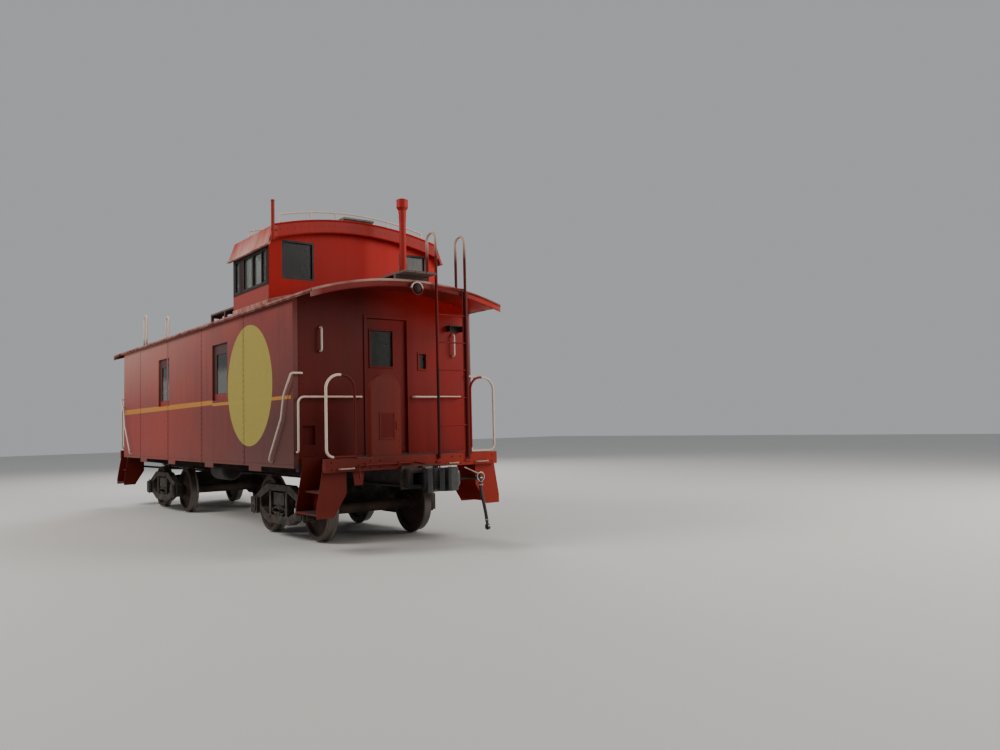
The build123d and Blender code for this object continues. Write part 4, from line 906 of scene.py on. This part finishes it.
def addSprings(end, endName, look):
    halfX, halfY, tall = look["buckle"]
    low, high = look["low"], look["high"]
    across = Matrix.Rotation(pi / 2, 4, "X")
    leaves = bmesh.new()
    middle = end * truckX
    for side in (-1, 1):
        y = side * look["y"]
        for bow, index in product((-1, 1), range(look["count"])):
            addLeaf(leaves, look, middle, side, bow, index)
        for bottom, top in ((low + 0.001, low + tall), (high - tall, high - 0.001)):
            addBar(leaves, (middle - halfX, y - halfY, bottom),
                   (middle + halfX, y + halfY, top), 0.004)
        for x in (look["rollerIn"] - look["reach"], look["reach"] - look["rollerIn"]):
            addCone(leaves, (middle + x, y, look["mid"]), (look["roller"], look["roller"]),
                    look["width"] + 0.004, across, 16)
    piece = placePiece(f"leafSprings_{endName}", leaves, "truckIron",
                       f"truck_{endName}")
    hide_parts(f"truck_springs_{endName}")


atBothEnds(addSprings, springLook)
print("springs built")


# Couplers: knuckle and lifting pins and cast ribs along the head; bolts on the striker flange
couplerLook = {
    "pins": [  # x, y, z, radius, height: knuckle pin above and below, lifting pin
        (5.792, 0.135, 1.047, 0.030, 0.022), (5.792, 0.135, 0.763, 0.026, 0.030),
        (5.500, -0.045, 1.055, 0.020, 0.012)],
    "ribs": [  # x, y and z ranges and rounding
        ((5.455, 5.600), (-0.082, -0.010), (1.045, 1.057), 0.004),
        ((5.545, 5.640), (-0.150, 0.135), (1.045, 1.063), 0.006),
        ((5.500, 5.680), (0.150, 0.196), (0.860, 0.942), 0.008),
        ((5.585, 5.775), (-0.030, 0.270), (1.003, 1.079), 0.026),
        ((5.630, 5.805), (0.165, 0.292), (0.792, 1.016), 0.040),
        ((5.560, 5.700), (0.165, 0.232), (0.830, 0.985), 0.020)],
    "bolts": [(y, z) for y in (-0.248, 0.248) for z in (0.80, 0.90, 1.00)],
    "boltFace": 5.255, "bolt": (0.016, 0.014),
    "stop": ((5.256, 5.370), (-0.012, 0.012), (1.030, 1.060), 0.004),
}


def addPin(shape, x, y, z, radius, height):
    addCone(shape, (x, y, z), (radius, radius * 0.8), height)


def addCouplerTrim(end, endName, look):
    pins = bmesh.new()
    for x, y, *rest in look["pins"]:
        addPin(pins, end * x, end * y, *rest)
    for rib in look["ribs"]:
        endBar(pins, end, *rib)
    placePiece(f"couplerPins_{endName}", pins, "couplerIron", f"coupler_{endName}")
    bolts = bmesh.new()
    for y, z in look["bolts"]:
        addStud(bolts, (end * look["boltFace"], end * y, z), (end, 0, 0), *look["bolt"])
    endBar(bolts, end, *look["stop"])
    placePiece(f"strikerBolts_{endName}", bolts, "couplerIron")


atBothEnds(addCouplerTrim, couplerLook)
print("couplers pinned")


# Brake stand: rivets round its arch, a frame round its window and a latch
standLook = {
    "face": 5.170, "mid": -0.440, "half": 0.220, "top": 2.280, "foot": 1.240, "inset": 0.022,
    "frame": (0.006, (-0.520, -0.325, 1.445, 1.760), 0.022),  # proud, opening, width
    "pitch": 0.075, "stud": (0.007, 0.004), "archStuds": 9,
    "latch": ((5.170, 5.180), (-0.295, -0.265), (1.55, 1.66), 0.003),
}


def addStandTrim(end, endName, look):
    inner = look["half"] - look["inset"]
    spring = look["top"] - look["half"]
    outward = (end, 0, 0)
    face = end * look["face"]
    trim = bmesh.new()
    for side in (-inner, inner):
        y = end * (look["mid"] + side)
        addStudRow(trim, (face, y, look["foot"]), (face, y, spring), look["pitch"], outward,
                   *look["stud"])
    for i in range(1, look["archStuds"]):
        angle = pi * i / look["archStuds"]
        y = end * (look["mid"] + inner * cos(angle))
        addStud(trim, (face, y, spring + inner * sin(angle)), outward, *look["stud"])
    addFrame(trim, end, look["face"], *look["frame"])
    endBar(trim, end, *look["latch"])
    placePiece(f"standTrim_{endName}", trim, "stepPaint")


atBothEnds(addStandTrim, standLook)
print("brake stands trimmed")


# Fixings: pads where pipes and grab irons meet the walls, and bolts along the end sills
fixings = {
    "wallFace": 4.480, "wallPad": (0.030, 0.006),
    "wallFeet": [(-1.040, 2.615), (-1.040, 2.935), (1.090, 2.615), (1.090, 2.935),
                 (-0.445, 2.005), (-1.380, 1.285), (0.380, 2.005), (1.190, 2.005),
                 (-1.310, 2.315), (1.310, 2.315)],  # y, z
    "sillFace": 5.210, "sillStuds": [  # radius and height, y, z
        ((0.024, 0.006), (-0.945, -1.150, 0.945, 1.150), (1.075,)),
        ((0.013, 0.012), (-1.24, -0.70, -0.56, 0.56, 0.70, 1.24), (1.070, 1.160))],
    "deckTop": 1.205, "postPad": (0.040, 0.010), "postFeet": [(5.190, -0.905), (5.190, 0.900)],
    "stiles": (0.340, 0.820), "stileFoot": ((5.2102, 5.2325), 0.045, (1.090, 1.112)),
    "stileClip": ((5.181, 5.2125), 0.013, (3.385, 3.410)),
    "flat": ((5.2105, 5.2175), (0.774, 0.868), (1.120, 3.452), 0.002),
    "flatStud": (5.2175, 0.785), "flatStuds": (1.30, 1.60, 1.90, 2.20, 2.50, 2.80, 3.10, 3.36),
}


def addFixings(end, endName, look):
    outward = (end, 0, 0)
    pads = bmesh.new()
    for y, z in look["wallFeet"]:
        addStud(pads, (end * look["wallFace"], end * y, z), outward, *look["wallPad"])
    placePiece(f"grabPads_{endName}", pads, "endPaint")
    bolts = bmesh.new()
    for size, across, up in look["sillStuds"]:
        for y, z in product(across, up):
            addStud(bolts, (end * look["sillFace"], end * y, z), outward, *size)
    for x, y in look["postFeet"]:
        addStud(bolts, (end * x, end * y, look["deckTop"]), (0, 0, 1), *look["postPad"])
    for y in look["stiles"]:
        for x, half, z in (look["stileFoot"], look["stileClip"]):
            endBar(bolts, end, x, (y - half, y + half), z, 0.003)
    flats = bmesh.new()
    endBar(flats, end, *look["flat"])
    x, y = look["flatStud"]
    for z in look["flatStuds"]:
        addStud(flats, (end * x, end * y, z), outward, 0.007, 0.004)
    placePiece(f"ladderFlats_{endName}", flats, "ladderPaint")
    placePiece(f"sillBolts_{endName}", bolts, "stepPaint")


# Smokestack: bands, the flared head with its lip, and bolts round the foot
stackLook = {
    "place": (4.180, 0.450), "bands": [(3.72, 0.054, 0.030), (4.30, 0.0535, 0.014)],
    "head": [(4.620, 4.790, 0.0515, 0.060), (4.790, 4.832, 0.060, 0.0868),
             (4.832, 4.950, 0.0868, 0.0868)],  # bottom, top and the radius at each
    "lip": (4.944, 0.0885, 0.012), "bolts": 8, "boltCircle": 0.081, "boltZ": 3.553,
    "lean": (0.9, 0.45), "bolt": (0.009, 0.010),
}


def addStackTrim(look):
    x, y = look["place"]
    out, up = look["lean"]
    stack = bmesh.new()
    for z, radius, depth in look["bands"]:
        addPin(stack, x, y, z, radius, depth)
    for low, high, wide, wider in look["head"]:
        addCone(stack, (x, y, (low + high) / 2), (wide, wider), high - low, segments=40,
                capped=False)
    addPin(stack, x, y, *look["lip"])
    for i in range(look["bolts"]):
        angle = 2 * pi * i / look["bolts"]
        across, along = cos(angle), sin(angle)
        place = (x + look["boltCircle"] * across, y + look["boltCircle"] * along, look["boltZ"])
        addStud(stack, place, (across * out, along * out, up), *look["bolt"])
    placePiece("stackBands", stack, "stackPaint")


atBothEnds(addFixings, fixings)
addStackTrim(stackLook)
print("fixings added")


# Hose clamps and strap, the ring under the angle cock, and the pale bar on each end sill
hoseTrim = {
    "clamps": [(5.310, 0.955, 0.757), (5.337, 1.030, 0.272)],
    "clamp": ((0.028, 0.028), 0.018), "lug": (0.020, 0.044, 0.008),
    "strap": (5.305, 0.806, 0.962), "strapTilt": -23.0, "strapSize": (0.026, 0.252, 0.012, 1.0),
    "ringStart": (5.318, 1.013, 0.868), "ringCentre": (5.318, 0.955, 0.868), "ring": 0.009,
    "neck": (5.310, 0.955), "necks": [(0.790, 0.842, 0.021), (0.842, 0.862, 0.030)],
    "neckRadius": 0.0295,
}
sillHold = {"bar": ((5.276, 5.294), (0.455, 0.625), (1.066, 1.084), 0.006),
            "legs": (0.464, 0.616), "legX": (5.232, 5.285), "legHalf": 0.009}


def addHoseTrim(look):
    clamps = bmesh.new()
    near, far, half = look["lug"]
    for x, y, z in look["clamps"]:
        addCone(clamps, (x, y, z), *look["clamp"])
        addBar(clamps, (x + near, y - half, z - half), (x + far, y + half, z + half), 0.002)
    tilt = Matrix.Rotation(radians(look["strapTilt"]), 4, "X")
    matrix = Matrix.Translation(look["strap"]) @ tilt @ Matrix.Diagonal(look["strapSize"])
    bmesh.ops.create_cube(clamps, size=1.0, matrix=matrix)
    placePiece("hoseClamps", clamps, "galvanised")


def addHoseRing(look):
    loop = bmesh.new()
    addRing(loop, look["ringStart"], look["ringCentre"], look["ring"], 10, 28)
    for low, high, narrow in look["necks"]:
        addCone(loop, (*look["neck"], (low + high) / 2), (look["neckRadius"], narrow), high - low)
    placePiece("hoseLoop", loop, "galvanised", smooth=True)


def addSillHolds(end, endName, look):
    hold = bmesh.new()
    endBar(hold, end, *look["bar"])
    for y in look["legs"]:
        endBar(hold, end, look["legX"], (y - look["legHalf"], y + look["legHalf"]),
               look["bar"][2], 0.004)
    placePiece(f"sillHold_{endName}", hold, "creamPaint")


# Ridges across the step treads
ridgeLook = {"treads": [(1.02, 1.29, 0.785), (1.20, 1.40, 0.525)], "x": (4.53, 5.11),
             "half": 0.004, "count": 8}  # a tread: y from, y to, top


def addStepRidges(look):
    ridges = bmesh.new()
    half = look["half"]
    for end, side, (start, stop, top) in product((-1, 1), (-1, 1), look["treads"]):
        for i in range(look["count"] + 1):
            y = side * (start + (stop - start) * i / look["count"])
            endBar(ridges, end, look["x"], (end * (y - half), end * (y + half)), (top, top + half))
    placePiece("stepRidges", ridges, "frameBlack")


addHoseTrim(hoseTrim)
atBothEnds(addSillHolds, sillHold)
addHoseRing(hoseTrim)
addStepRidges(ridgeLook)
print("hose clamps, sill bars and step ridges added")


# The floor and the studio light
studio = {
    "floorSize": 120.0, "floorTint": (0.58, 0.57, 0.55, 1.0),
    "sky": (0.93, 0.96, 1.0, 1.0), "skyStrength": 0.40,
    "lights": [  # name, place, aimed at, width, watts, colour
        ("keyLight", (-2.0, -15.0, 14.0), (0.5, 0.0, 2.2), 8.0, 2700.0, (1.0, 0.96, 0.90)),
        ("endFill", (15.0, 12.0, 9.0), (4.6, 0.0, 2.6), 11.0, 2400.0, (1.0, 0.95, 0.88)),
        ("backFill", (-15.0, 9.0, 12.0), (0.0, 0.0, 2.5), 8.0, 1800.0, (1.0, 0.98, 0.95))],
}


def addStudio(look):
    shape = bmesh.new()
    bmesh.ops.create_grid(shape, x_segments=1, y_segments=1, size=look["floorSize"] / 2)
    finish = Finish("floorFinish", {"Roughness": 0.9, "Base Color": look["floorTint"]})
    ground = addMesh("floorPlane", shape, finish.material)
    sky = bpy.data.worlds.new("studioSky")
    sky.use_nodes = True
    background = sky.node_tree.nodes["Background"]
    background.inputs["Color"].default_value = look["sky"]
    background.inputs["Strength"].default_value = look["skyStrength"]
    bpy.context.scene.world = sky
    for name, place, aim, width, watts, glow in look["lights"]:
        lamp = bpy.data.lights.new(name, "AREA")
        lamp.size = width
        lamp.energy = watts
        lamp.color = glow
        holder = addObject(name, lamp)
        holder.location = place
        turn = (Vector(aim) - Vector(place)).to_track_quat("-Z", "Y")
        holder.rotation_euler = turn.to_euler()


addStudio(studio)
print("studio lit")
